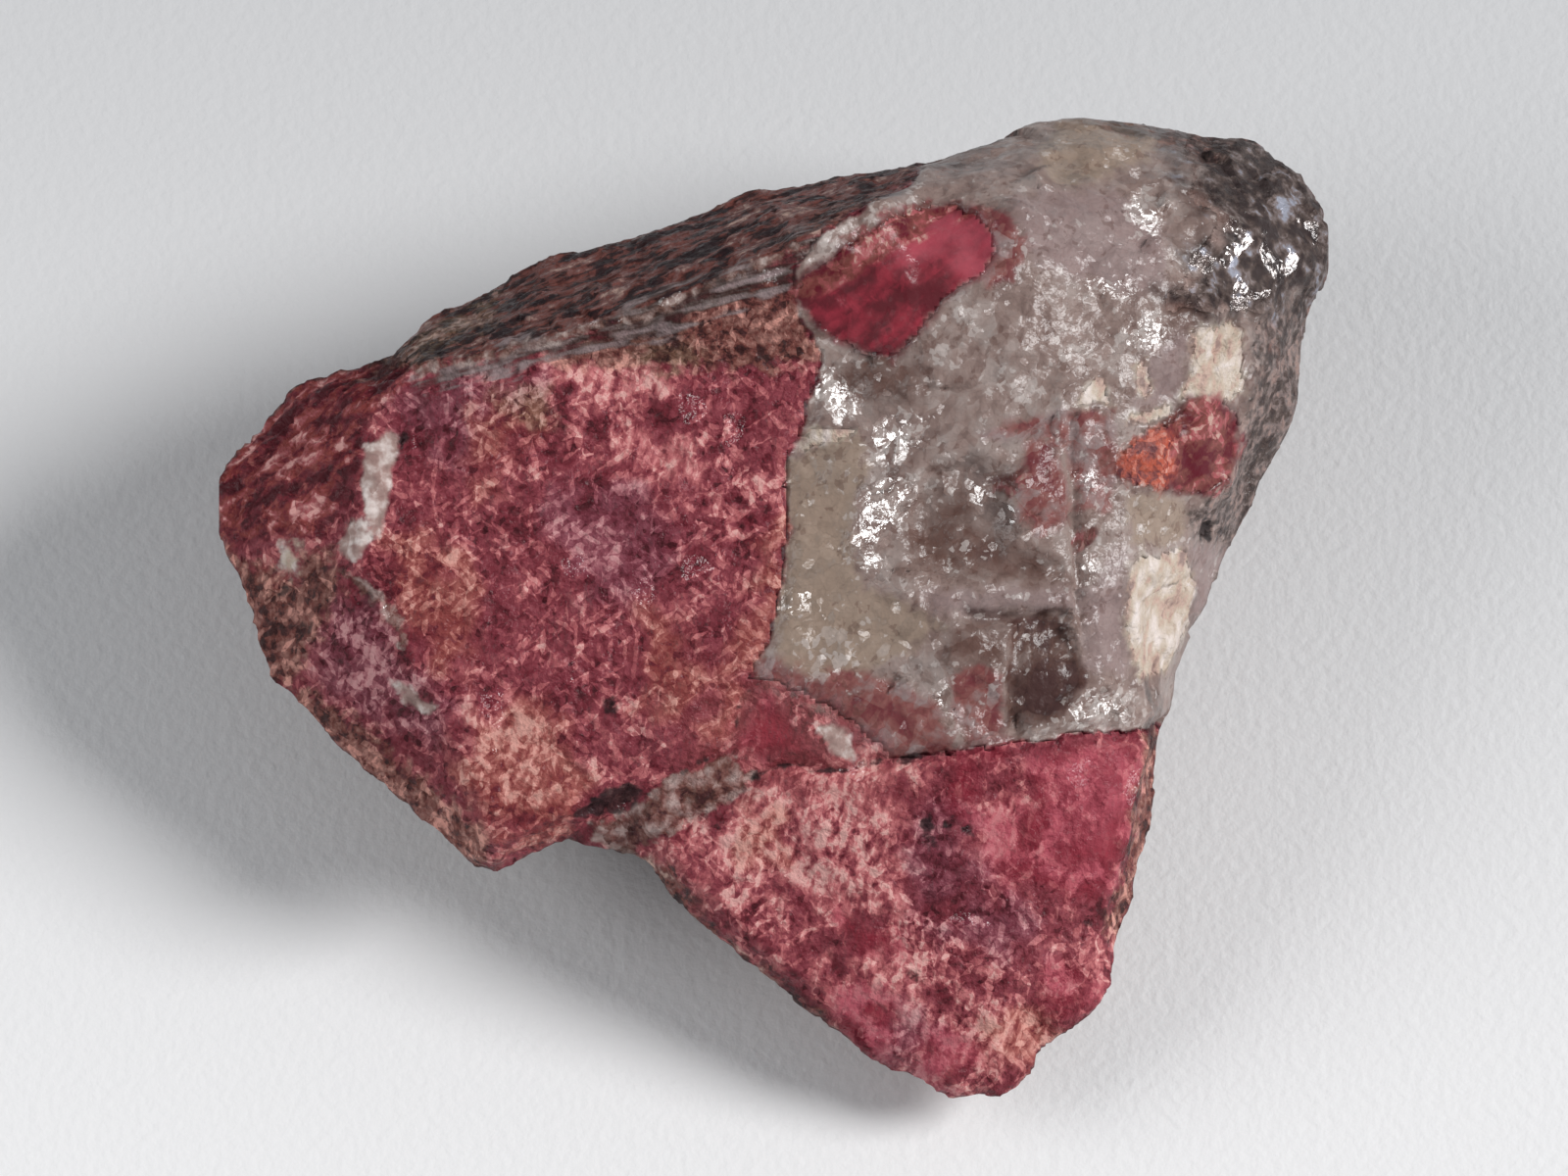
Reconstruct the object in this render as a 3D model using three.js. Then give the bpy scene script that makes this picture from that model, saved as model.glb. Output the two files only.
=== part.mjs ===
// Rough rhodonite: a broken lump of rose-red rhodonite grown together with grey quartz.
// It is one natural piece. Millimetres, +Z up. The stone lies on the flat broken face
// under it, which is at z = 0 around the origin.
import * as THREE from 'three';
import { TessellateModifier } from 'three/addons/modifiers/TessellateModifier.js';
import { ImprovedNoise } from 'three/addons/math/ImprovedNoise.js';
import { mergeVertices } from 'three/addons/utils/BufferGeometryUtils.js';

// Corners are measured as [across, up, height]. Across is x and height is z. Up is measured
// in a plane that leans back from the front of the stone, at right angles to a line of
// sight that comes down at SIGHT_ANGLE to the table.
const SIGHT_ANGLE = THREE.MathUtils.degToRad(68);
const FACET_EDGE = 2.1;        // longest edge of a small facet
const ROUGHNESS = 0.3;         // how far the broken surface strays from its flat faces
const CHIP_SIZE = 3.1;         // distance from one chip to the next
const GRAIN_SIZE = 1.3;        // distance from one grain to the next
const LOWEST_CHIP = 0.25;      // clearance of everything but the resting face

// The edge all round, where the faces seen from above meet the underside.
const rim = [
  // left tip, then along the top edge of the left block
  [-24.2, 3.75, 11], [-23.8, 5, 11.2], [-22.4, 7, 11.5], [-20.8, 8.5, 12], [-17.2, 10, 13],
  // back edge of the rhodonite
  [-15, 11.7, 13], [-12.5, 13.1, 13], [-10, 14.2, 13.5], [-6.7, 15.1, 14], [-4.2, 16.2, 14],
  [-1.7, 17.1, 14], [2.1, 17.7, 14], [4.4, 18.3, 14],
  // back edge of the quartz, up to the rounded top corner
  [6.25, 18.2, 14.5], [8.3, 18.9, 14], [10.8, 19.8, 13], [12.9, 20.1, 12.5],
  [15.4, 19.9, 12], [18.1, 19.2, 11.5], [20, 19, 11], [21, 18.2, 10.5], [22.5, 16.4, 10],
  // right edge, from the mica corner down to the step
  [23.3, 14.6, 10], [23.2, 13.5, 9.5], [22.5, 12.1, 9], [22.3, 10.4, 8.5], [21.8, 7.5, 8],
  [20.9, 5, 7], [19.7, 2.3, 6.5], [18.4, 0, 6], [17.2, -2.1, 6], [16.8, -3.75, 6],
  [16.7, -5.4, 6],
  // right edge of the lower block, down to its point
  [16.2, -6.2, 6], [15.8, -10.4, 5], [14.8, -13.75, 4.5], [13.9, -16.7, 4],
  [12.8, -17.9, 4], [10.8, -19.4, 3.5], [10.3, -20.6, 3.2], [9.1, -21.7, 3],
  // front edge of the lower block, back up to the notch
  [7.7, -21.5, 3], [4.1, -19.9, 4], [1.1, -17.7, 5], [-1.4, -15.4, 5.8],
  [-4.3, -12.9, 7], [-6.3, -11.4, 7.5], [-8.1, -10.9, 8], [-9.2, -10.5, 8],
  // front edge of the left block
  [-10.8, -11.4, 7.6], [-12.3, -12.1, 7.2], [-13.2, -11.8, 7], [-15.1, -10, 7.6],
  [-17.6, -8, 8.4], [-19.9, -5.8, 9], [-21.8, -3.8, 9.4], [-22.5, -1.7, 9.8],
  [-23.3, 0.8, 10], [-23.7, 1.75, 10.4],
];

// Corners of the faces seen from above.
const crown = [
  // long ridge along the back of the main face
  [-15.4, 9.4, 17], [-12.7, 9.9, 17.6], [-10, 10.6, 18.5], [-6.7, 11.7, 19.5],
  [-2.5, 13.3, 20.5], [1.25, 15, 21], [4.4, 16.5, 20.2], [6.4, 17.2, 18.4],
  // foot of the brown band under the ridge
  [-10, 9.8, 17.7], [-6.25, 9.5, 17.3], [-2.5, 9.5, 17.2],
  // border between the main face and the quartz, down to the notch
  [1.5, 9.6, 17.3], [0.4, 7, 16.4], [0.2, 4.6, 15.5], [0.2, 2, 15], [0, -0.8, 14.2],
  [-1.3, -2.8, 13.6], [-2.5, -4.4, 12.9], [-3.9, -6.9, 12], [-6.1, -8.7, 10.9],
  [-8.1, -9.9, 9.4],
  // inside the main face, a little hollow
  [-9, 4.5, 15.7], [-11, -1, 13.9], [-5, 1, 14.7], [-6.8, -5, 12.5], [-14, 3, 15.2],
  [-9.6, -7, 11.9],
  // left edge of the main face
  [-17.2, 8, 16], [-17.6, 5, 15.5], [-17.9, 1.5, 14.8], [-16.2, -2.1, 13.7],
  [-14.4, -5.4, 12.5], [-13.2, -8.4, 11.3], [-12.4, -10.9, 9.9], [-10.8, -10.4, 10.2],
  [-9.4, -9.5, 10.6],
  // left block outside that edge
  [-21, 5.2, 13.6], [-21.3, 1.4, 12.6], [-19.2, -2.4, 11.9], [-17.2, -5.2, 11],
  [-14.9, -8.3, 9.8],
  // rounded top edge of the quartz
  [8.6, 17.6, 17.4], [11, 18.6, 16.2], [13.3, 19, 15.3], [15.7, 18.6, 14.9],
  [18.2, 17.8, 14.2], [20.6, 16, 13.4],
  // top of the quartz
  [9.6, 15.4, 19.4], [8.75, 12.9, 19.4], [4.2, 9.6, 18], [5.6, 12.8, 19.6],
  [12.6, 15.8, 18], [15.8, 15.8, 16.9], [18.6, 14.6, 15.8], [20.9, 13.4, 13.6],
  [17.9, 11.25, 16.2], [15.4, 12.6, 17.3], [12.2, 12.3, 18.2], [20.3, 10.4, 13.2],
  // slope of the quartz towards the step
  [10.8, 7.1, 17.2], [14.2, 7.9, 16.4], [17.3, 7.6, 14.6], [19.8, 7.4, 11.8],
  [14.6, 4.2, 15], [18.6, 4.4, 11.4], [14.6, 0.4, 13.4], [16.9, 1.1, 10.8],
  [12.5, -0.4, 14.2], [12.9, -3.75, 12.6], [15.2, -3, 11], [10, -5.6, 12.3],
  [7.7, -1.7, 14.6], [4.2, 3.3, 15.3], [1.25, 4.6, 15.3], [3.3, 7.5, 16.6],
  [6.25, 6.7, 17], [7.6, 3, 15.6], [10.8, 3, 15.6], [4.2, 0, 14.8], [0.8, -3.75, 13.3],
  [4.6, -4.4, 13.1], [3.3, -6.9, 12], [-2.2, -7.2, 11.7],
  // top edge of the lower block
  [-5.3, -10.6, 10], [-3.3, -8.8, 11], [2.9, -7.8, 11.8], [6.6, -7, 12.1],
  [10, -6.35, 12.2], [13.2, -6, 11.4], [15.6, -6.1, 9.6],
  // inside the lower block
  [1.2, -12.4, 9], [6.25, -12.1, 9.6], [11.7, -11.8, 9], [9.6, -16.4, 6.7],
  // bevelled edges of the lower block
  [-4.2, -12.1, 9.1], [-1.3, -14.6, 7.7], [1.3, -16.9, 6.5], [4.3, -19.1, 5.2],
  [7.6, -20.8, 4.2], [9, -20.9, 4], [12.3, -17.2, 5.4], [13.9, -13.6, 6.8],
  [14.9, -10.3, 8],
];

// Corners of the underside, on a belt between the rim and the resting face.
const underside = [
  // back wall
  [-18, 7.3, 7], [-15.6, 9.3, 7], [-12.6, 11.6, 6.8], [-9.8, 12.6, 6.2], [-7, 13.8, 6.6],
  [-3.4, 14.9, 6.4], [0, 15.4, 5.8], [3.5, 16.2, 6], [7, 16.4, 5.6], [10, 17, 5.8],
  [13, 16.8, 5.2], [15.6, 16.4, 5.4], [18, 15.2, 5],
  // right wall
  [19.8, 12.6, 4.8], [20.4, 9.6, 4.6], [19.6, 6.2, 4], [17.9, 3, 3.6], [16.8, -0.2, 3],
  [15.2, -3.4, 2.8], [14.8, -7, 2.4], [14.2, -10.2, 2.2], [12.8, -13.8, 1.9],
  // front wall, undercut
  [10.6, -17.4, 1.6], [7.4, -18.8, 1.5], [4.6, -16.8, 2], [1.6, -15, 2.4], [-1.2, -12.8, 3],
  [-3.8, -11, 3.4], [-6, -9.6, 3.7], [-8.2, -8.8, 4], [-10.6, -9.4, 3.8],
  [-12.8, -9.6, 3.6], [-15, -7.4, 3.9], [-17.4, -5.4, 4.4], [-19.4, -2.6, 5],
  [-20.4, 0.4, 5.6], [-20.8, 3, 6.2], [-19.8, 5.4, 6.8],
];

// Corners of the flat resting face.
const bed = [
  [-14.4, -1.4, 0], [-12, 5.2, 0], [-5, 9.4, 0], [3, 11, 0], [10, 11, 0], [14.6, 8, 0],
  [15.2, 1.4, 0], [12.2, -8.4, 0], [7.6, -15, 0], [-1, -11, 0], [-8.6, -7, 0],
];

function cornerPoint([across, up, height]) {
  const back = (up - height * Math.cos(SIGHT_ANGLE)) / Math.sin(SIGHT_ANGLE);
  return new THREE.Vector3(across, back, height);
}

// True where a point of the sight plane is inside the rim.
function insideRim(across, up) {
  let inside = false;
  rim.forEach(([x1, y1], index) => {
    const [x2, y2] = rim[(index + 1) % rim.length];
    const crosses = (y1 > up) !== (y2 > up);
    if (crosses && across < x1 + ((up - y1) / (y2 - y1)) * (x2 - x1)) inside = !inside;
  });
  return inside;
}

// True where a corner is inside the circle through the corners of a triangle whose
// corners run anticlockwise.
function insideCircle(corner, first, second, third) {
  const rows = [first, second, third].map(([x, y]) => {
    const dx = x - corner[0];
    const dy = y - corner[1];
    return [dx, dy, dx * dx + dy * dy];
  });
  return new THREE.Matrix3().set(...rows[0], ...rows[1], ...rows[2]).determinant() > 0;
}

// Delaunay triangles of corners in the sight plane, as triples of indices into corners.
function facetsBetween(corners) {
  const far = 1000;
  const points = [...corners, [-far, -far], [far, -far], [0, far]];
  const count = corners.length;
  let facets = [[count, count + 1, count + 2]];
  corners.forEach((corner, index) => {
    const open = facets.filter((facet) => insideCircle(corner, ...facet.map((i) => points[i])));
    const sides = open.flatMap(([a, b, c]) => [[a, b], [b, c], [c, a]]);
    const edge = sides.filter(([a, b]) => !sides.some(([c, d]) => a === d && b === c));
    facets = facets.filter((facet) => !open.includes(facet));
    edge.forEach(([a, b]) => facets.push([a, b, index]));
  });
  return facets.filter((facet) => {
    if (facet.some((i) => i >= count)) return false;
    const [x, y] = [0, 1].map((axis) => facet.reduce((sum, i) => sum + points[i][axis], 0) / 3);
    return insideRim(x, y);
  });
}

// One side of the stone: its triangles, pointing up from the crown or down from the bed.
function sidePositions(innerCorners, pointsUp) {
  const corners = [...rim, ...innerCorners];
  const points = corners.map(cornerPoint);
  return facetsBetween(corners).flatMap(([a, b, c]) => {
    const order = pointsUp ? [a, b, c] : [a, c, b];
    return order.flatMap((i) => points[i].toArray());
  });
}

// Smooth noise between about -1 and 1, with two sizes of bump.
const noise = new ImprovedNoise();
function roughnessAt(point) {
  const chips = noise.noise(point.x / CHIP_SIZE, point.y / CHIP_SIZE, point.z / CHIP_SIZE);
  const grains = noise.noise(point.x / GRAIN_SIZE, point.y / GRAIN_SIZE, point.z / GRAIN_SIZE);
  return chips + 0.6 * grains;
}

function stoneGeometry() {
  const positions = [
    ...sidePositions(crown, true),
    ...sidePositions([...underside, ...bed], false),
  ];
  const blocks = new THREE.BufferGeometry();
  blocks.setAttribute('position', new THREE.Float32BufferAttribute(positions, 3));
  const splits = 12;
  const stone = mergeVertices(new TessellateModifier(FACET_EDGE, splits).modify(blocks), 1e-3);
  stone.computeVertexNormals();
  const position = stone.getAttribute('position');
  const normal = stone.getAttribute('normal');
  const point = new THREE.Vector3();
  const outward = new THREE.Vector3();
  for (let i = 0; i < position.count; i += 1) {
    point.fromBufferAttribute(position, i);
    if (point.z < 1e-3) continue;
    outward.fromBufferAttribute(normal, i);
    point.addScaledVector(outward, ROUGHNESS * roughnessAt(point));
    position.setXYZ(i, point.x, point.y, Math.max(point.z, LOWEST_CHIP));
  }
  stone.computeVertexNormals();
  return stone;
}

const rhodonite = new THREE.MeshStandardMaterial({
  color: '#9a4450', roughness: 0.55, metalness: 0,
});
const stone = new THREE.Mesh(stoneGeometry(), rhodonite);
stone.name = 'rough_rhodonite';

const roughRhodonite = new THREE.Group();
roughRhodonite.add(stone);

export default roughRhodonite;
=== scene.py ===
"""Rough rhodonite: the looks of a broken lump of rhodonite and quartz, around its CAD solid."""

import math

import bpy
import numpy as np
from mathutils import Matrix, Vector, noise


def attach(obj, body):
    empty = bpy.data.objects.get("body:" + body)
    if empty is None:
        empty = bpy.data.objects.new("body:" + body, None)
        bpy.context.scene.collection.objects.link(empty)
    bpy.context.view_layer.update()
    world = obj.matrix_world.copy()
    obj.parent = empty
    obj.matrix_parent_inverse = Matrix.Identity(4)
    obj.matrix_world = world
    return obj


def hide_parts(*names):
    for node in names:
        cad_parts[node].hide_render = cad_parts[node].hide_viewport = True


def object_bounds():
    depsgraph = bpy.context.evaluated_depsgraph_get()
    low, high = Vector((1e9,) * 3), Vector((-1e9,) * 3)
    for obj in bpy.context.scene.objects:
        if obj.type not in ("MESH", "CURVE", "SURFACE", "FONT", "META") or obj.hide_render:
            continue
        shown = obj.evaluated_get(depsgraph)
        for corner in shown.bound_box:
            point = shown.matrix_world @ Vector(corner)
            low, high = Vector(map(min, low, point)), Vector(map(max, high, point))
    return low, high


bl_info = {
    "name": "Rough Rhodonite",
    "version": (1, 0, 0),
    "blender": (4, 5, 0),
    "location": "3D View > Sidebar > Rhodonite",
    "description": "Builds a broken lump of rhodonite and quartz around its CAD solid",
    "category": "Object",
}

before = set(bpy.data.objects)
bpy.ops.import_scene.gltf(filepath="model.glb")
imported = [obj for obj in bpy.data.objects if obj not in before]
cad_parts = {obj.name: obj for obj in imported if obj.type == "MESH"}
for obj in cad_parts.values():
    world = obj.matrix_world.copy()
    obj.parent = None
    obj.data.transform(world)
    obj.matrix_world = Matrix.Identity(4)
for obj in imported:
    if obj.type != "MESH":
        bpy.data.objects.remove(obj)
CAD_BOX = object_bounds()

NODE = "rough_rhodonite"
BODY = "root"
STONE = "rhodonite_body"
QUARTZ = "quartz_mass"
MM = 0.001

# The face that shows is seen along a line of sight that comes down at this angle to the table.
# Outlines on it are [across, up] in millimetres, in the plane at right angles to that line.
SIGHT_ANGLE = math.radians(68)
SIGHT = np.array([0.0, -math.cos(SIGHT_ANGLE), math.sin(SIGHT_ANGLE)])
SIGHT_UP = np.array([0.0, math.sin(SIGHT_ANGLE), math.cos(SIGHT_ANGLE)])

# Where each mineral shows on that face. The quartz, the mica and the dark back go right
# through the stone; the others end where the stone turns away from the line of sight.
OUTLINES = {
    "quartz": [
        [(-2.7, -7.2), (-2.2, -5.8), (-1.7, -4.4), (-0.5, -1.9), (0, 0), (0.2, 2.5), (0.2, 5.4),
         (0.6, 6.2), (1.2, 8.1), (1.6, 9.4), (1.5, 10.4), (0.6, 11.6), (0.5, 12.5), (0.6, 13.5),
         (1.2, 14.6), (2.5, 15.6), (4.4, 16.7), (5.6, 17.3), (6, 18.1), (6.2, 19.2),
         (8.3, 20.4), (13.3, 22.1), (20.8, 21.7), (25.8, 14.6), (25, 7.1), (20.4, 1.7),
         (18.3, -1.7), (18.5, -6), (16, -5.9), (14.6, -6), (12.5, -6.1), (10.4, -6.5),
         (6.7, -6.9), (4.2, -7.3), (2.5, -7.7), (0, -7.5)],
    ],
    "crystal": [
        # the lens near the top
        [(0.4, 12.3), (0.8, 13.3), (2.1, 14.2), (3.3, 15), (4.4, 15.8), (6.2, 16.3),
         (7.5, 16.3), (8.5, 15.7), (9, 15), (9, 14.2), (8.5, 13.4), (6.9, 12.1),
         (5.8, 10.9), (4.4, 9.6), (3.1, 10.1), (1.5, 11)],
        # the dark red half of the orange crystal
        [(16.2, 6.7), (17.2, 7.9), (18.3, 8.3), (19.3, 7.6), (19.6, 6.2), (18.9, 4.6),
         (17.7, 4), (16.2, 4.1)],
    ],
    "clean": [
        # clean parts of the lower block
        [(8, -7), (9.4, -6.7), (9.2, -8.7), (8.3, -10.8), (9.4, -12.5), (11.4, -13),
         (13.3, -13.5), (14.6, -11.3), (15.2, -7.7), (15, -6.2), (12.3, -6.5), (10.9, -7),
         (10.4, -8.2), (9.9, -9.9), (9.4, -9.4), (9.8, -7.9)],
        [(6.8, -7.2), (8, -7), (8.5, -8.7), (8, -10.3), (7, -9.4)],
        # the wedge between the main face and the quartz
        [(-2.3, -6.9), (-1.6, -5.2), (-0.8, -4.6), (0, -5.3), (1, -6.4), (1.6, -7.3),
         (0, -7.4)],
        [(11.1, -15.9), (12.6, -16.1), (12.8, -17.6), (11.8, -18.3), (10.9, -17.4)],
        [(2.2, -16.9), (3.9, -16.9), (4.8, -18.1), (4.3, -19.3), (2.7, -18.6)],
        [(5.8, -18.8), (8, -18.8), (8.5, -20), (7, -20.7), (5.6, -20)],
        [(2.2, -13.7), (4.6, -14.5), (4.8, -15.4), (2.7, -15.4)],
    ],
    "bright": [
        # painted highlight: the lit right end of the lens and lit parts of the clean crystals
        [(5, 15), (6.7, 15.8), (8.8, 15.6), (9.4, 14.9), (8.8, 13.7), (7.7, 13.1), (6.7, 14.1),
         (5.4, 14.1)],
        [(10.9, -7), (14.7, -6.5), (14.9, -8.9), (13.8, -11.1), (12.3, -11.3), (11.6, -9.4)],
        [(6.3, -19), (8, -19), (8.2, -20), (6.8, -20.3)],
    ],
    "ember": [
        [(14.2, 5.8), (15, 6.6), (16.7, 7.1), (16.7, 5.4), (16.3, 4.1), (15, 4.2), (14.2, 4.8)],
    ],
    "mica": [
        [(16.9, 18.8), (17.9, 20), (20.8, 20), (25.8, 16.7), (25.8, 12.5), (22.3, 11.5),
         (20.4, 11.6), (16.2, 11.6), (15.8, 12.2), (16.9, 12.9), (17.2, 14.1), (18.3, 15.5),
         (17, 16.5), (17.3, 17.7)],
    ],
    "cream": [
        # the lump on the right edge
        [(14.5, -0.4), (14.6, 0.8), (15, 1.6), (15.8, 1.4), (16.5, 1.7), (17.1, 1.7),
         (17.6, 0.4), (17.2, -1.2), (16.5, -2.6), (15.8, -3.8), (15.1, -3.8), (14.5, -2.7),
         (14.3, -1.3)],
        # the fibrous patch above the orange crystal, and the chips beside it
        [(17.1, 10.9), (17.6, 11.2), (18.6, 11.3), (19.4, 11.4), (19.6, 10.4), (19.4, 9.4),
         (19.7, 8.3), (18.9, 8), (18.2, 8.3), (17.6, 7.9), (16.8, 7.8), (17.2, 9.2)],
        [(14.5, 7), (14.6, 7.6), (15.7, 7.6), (16.6, 7.8), (16.5, 7.3), (15.5, 7)],
        [(15, 9.4), (15.5, 9.8), (15.8, 8.6), (15.4, 7.9), (14.9, 8.4)],
        # a chip at the top of the pink column
        [(12.3, 7.7), (12.7, 8.5), (13.3, 9.1), (13.8, 8.7), (13.8, 7.7), (13.1, 7.6)],
        # the thin vein over the smooth quartz
        [(0.5, 5.8), (0.9, 6.7), (1.4, 7), (3.3, 6.7), (2.6, 6.3), (1.5, 6), (0.6, 5.6)],
        [(-21.5, 1.8), (-21.2, 2), (-20.8, 1.2), (-20.7, 0.6), (-21, 0.4), (-21.4, 1)],
        [(-20.7, 2.1), (-20.2, 2), (-20.3, 1.6), (-20.7, 1.6)],
    ],
    "milk": [
        [(1.2, 8.5), (1.9, 9.5), (2.5, 8.8), (3.3, 7.8), (3, 6.6), (2.3, 7.1), (1.5, 7.5)],
        [(3.4, 6.5), (4.4, 7.2), (4.9, 7.5), (6.1, 7.2), (5.9, 6.2), (5.2, 5.4), (3.9, 5.4)],
        [(10.8, -6.2), (12.3, -5.1), (12.7, -4.4), (14.2, -3.9), (15.2, -4.1), (16.1, -5.9),
         (14.6, -6.1), (12.5, -6.1)],
        [(8.5, 8.2), (10.2, 9.3), (11.2, 8.5), (11.2, 7.8), (10.2, 7.7), (8.8, 8.1)],
        [(0.8, 14), (1.9, 15.2), (4.4, 16.6), (5.9, 17.2), (5.3, 16.4), (3.8, 15.6),
         (2.5, 14.8), (1.2, 13.8)],
        [(14.5, 10.2), (14.6, 11), (15.6, 11.8), (16.2, 10.8), (15.4, 10.1)],
        [(14.4, 16.5), (15.2, 17.1), (16.3, 16.7), (16, 15), (15.2, 15.2)],
        [(7.2, 11.7), (7.6, 12.3), (8, 11.8), (7.8, 10.8), (7.3, 10.8)],
        [(11.4, 10.9), (11.8, 10.9), (12.1, 8.7), (11.7, 8.6)],
        [(0.5, -2.3), (1.7, -1.7), (2.9, -1.7), (3.3, -2.9), (2.5, -3.8), (1.2, -3.8)],
        # a feather in the wedge
        [(1.3, -5.6), (1.9, -5.3), (2.6, -5.8), (3, -6.7), (2.6, -7.2), (1.9, -6.8)],
    ],
    "chips": [
        # the strip at the left of the main face
        [(-17.8, 6), (-17.3, 6.3), (-16.7, 6.8), (-16.3, 6.6), (-16.5, 5.4), (-16.8, 3.8),
         (-17.1, 2.2), (-17.5, 2.2), (-17.8, 3.3), (-17.8, 4.6)],
        [(-18.8, 2.4), (-18.3, 3), (-17.7, 2.9), (-17.6, 2.1), (-18.2, 1.2), (-18.8, 1.4)],
        [(-16.6, -3.8), (-15.9, -4.2), (-14.7, -5.1), (-15, -5.4), (-16, -4.9)],
        [(1.2, -5.6), (2.6, -5.8), (3, -7), (2.8, -7.4), (2.1, -7.1)],
    ],
    "khaki": [
        # the smooth quartz beside the main face
        [(0.2, 5.2), (1.2, 6.2), (3.2, 6.5), (3.5, 5.1), (3, 3.5), (2.8, 1.7), (3.3, 0),
         (5.6, -0.8), (6.7, -1.7), (5.4, -2.6), (3.3, -3.5), (1.2, -3.8), (-0.1, -3),
         (-0.4, -2.1), (0, 0), (0.2, 2.5)],
        # between the orange crystal and the cream lump
        [(14.7, 4), (16.9, 3.9), (17.1, 2.4), (16.2, 1.7), (14.9, 2)],
        # the lobe on the far rim
        [(10.8, 18.7), (11.7, 19.7), (13.3, 20.1), (15.2, 19.9), (16, 19.2), (15.5, 18.5),
         (13.8, 17.4), (12.1, 17), (11.2, 17.2)],
    ],
    "smoky": [
        # the hollow
        [(5.2, 2.3), (5.7, 3.2), (6.7, 4.1), (7.5, 4.9), (8.5, 4.1), (8.8, 2.5), (10.2, 1.7),
         (12.1, 1.2), (11.9, 0.4), (10.2, 0.4), (8.1, 0.5), (6.7, 0.8), (5.4, 1.2)],
        [(6.7, -1.7), (8.1, -1.2), (9.5, -1.4), (9.5, -3.8), (8.1, -3.5), (6.7, -2.7)],
        # under the lens
        [(2.4, 9.5), (3.3, 9.8), (5.4, 9.5), (6.3, 8.7), (6.2, 7.8), (4.2, 7.7), (2.6, 8.2)],
        # the quartz beside the mica
        [(15.8, 12.3), (18.1, 12.9), (18.8, 12.5), (18.5, 11.2), (17.1, 10.8), (16, 11.2)],
        [(17.1, 16.9), (18.5, 17.3), (18.8, 15.8), (17.7, 15.5), (17, 16)],
    ],
    "window": [
        # the crystal over the lower block
        [(9.6, -1.4), (11.2, -1), (12.2, -1.7), (12.5, -2.7), (12.9, -3.8), (12.3, -4.8),
         (11.7, -5.6), (10.7, -5.9), (9.4, -5.9), (9.5, -3.8)],
    ],
    "deep": [
        # painted shade in the slit over that crystal, and the dark foot of it
        [(8, -1), (9, -0.9), (9.8, -1.1), (9.7, -1.4), (8.8, -1.5), (8, -1.4)],
        [(11, -1.1), (11.8, -1), (12.3, -1.6), (12.5, -2.4), (12.1, -2), (11.7, -1.6)],
        [(9.8, -3.5), (11, -3.2), (12.3, -3.5), (12.8, -3.9), (12.1, -4.9), (11.2, -5.5),
         (10, -5.6), (9.7, -4.6)],
        # shadows in the hollow
        [(8.1, 5.4), (8.8, 4.9), (9.1, 4), (9.6, 2.7), (9.2, 2.6), (8.5, 3.9), (8, 4.8)],
        [(7.5, 1.8), (8.8, 1.9), (9.2, 1.5), (8.1, 1.4)],
    ],
    "lilac": [
        # the ledge under the hollow
        [(5.8, -0.2), (12.2, 0.1), (12.4, -1), (10, -0.9), (6.2, -1.1)],
        # the column at the right
        [(12.8, 0), (14.2, 1.6), (14.6, 1.6), (14.3, -1.7), (14.5, -3.8), (12.8, -3.4),
         (12.7, -1.7)],
        [(9.6, 16.7), (14.2, 16.9), (16.2, 15.4), (16.2, 12.5), (13.3, 12.9), (10.4, 13.8)],
        # the crystal between the cream chips, and the rim beside the cream lump
        [(14.8, 8), (15.3, 9.8), (16.4, 10.9), (17.1, 11), (17, 8.6), (16.6, 7.7), (15.2, 7.6)],
        [(17.1, 1.9), (19.6, 1.9), (18.8, -0.4), (17.3, -1.6), (17.6, 0.4)],
    ],
    "blush": [
        # round the right end of the lens
        [(7.9, 16.4), (9.6, 15.8), (10.4, 14.4), (9.6, 13), (8.3, 12.6), (8.4, 14.2)],
        # the pink column
        [(10.1, 6.5), (11.5, 6.2), (12, 4.5), (12, 2.7), (10.8, 2.2), (10, 2.9), (10.1, 5)],
        [(8.3, 6.5), (10.4, 7.3), (13.8, 7.5), (14.1, 5.4), (14, 3.3), (12.5, 3.3), (12.1, 6),
         (10.4, 6.5), (8.8, 6.2)],
        # over the lower block
        [(7.1, -5.1), (7, -3.8), (8.3, -3.3), (9.2, -3.8), (9.3, -5.7), (9, -6.6), (7.5, -6.8)],
        [(-2.6, -4.2), (-1.2, -3), (1.2, -2.8), (4.2, -3.8), (6.6, -4.8), (7.2, -7.2),
         (3.3, -7.4), (1.9, -5)],
    ],
    "rosy": [
        # red stone that shows through the quartz over the lower block
        [(-4.8, -8.6), (-4, -5.2), (-2.7, -3.7), (-0.6, -3.9), (1.2, -4.4), (2.6, -5.2),
         (3.6, -6.2), (4.6, -6.9), (4.6, -9), (2.1, -9), (0, -8.8)],
    ],
    "glitter": [
        # the cluster in the middle
        [(3.1, 4), (4.3, 4.8), (5.3, 4.6), (5.5, 3.7), (4.7, 2.6), (3.8, 1.7), (4.5, 0.6),
         (4, 0.3), (3.2, 1), (2.8, 2.1), (3.3, 2.9)],
        [(1.2, 8.5), (1.9, 9.5), (2.6, 8.7), (3.3, 7.8), (3, 6.6), (2.2, 7.3)],
        [(3.4, 6.5), (4.4, 7.2), (6.1, 7.2), (5.8, 6), (4.8, 5.4), (3.9, 5.4)],
        [(12.3, 4.5), (12.5, 5.2), (13.4, 4.9), (13.3, 4.2)],
        [(12.5, 1.5), (13, 1.2), (13.2, 0.4), (12.8, 0.3)],
        [(7.7, 5), (8.3, 4.6), (8.5, 3.5), (8.1, 3.7)],
        [(9.1, 3.7), (9.6, 3.3), (9.8, 2.8), (9.3, 2.9)],
        [(12, -5.1), (12.9, -4.7), (14.6, -4.7), (14.4, -5.5), (12.5, -5.8)],
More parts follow.
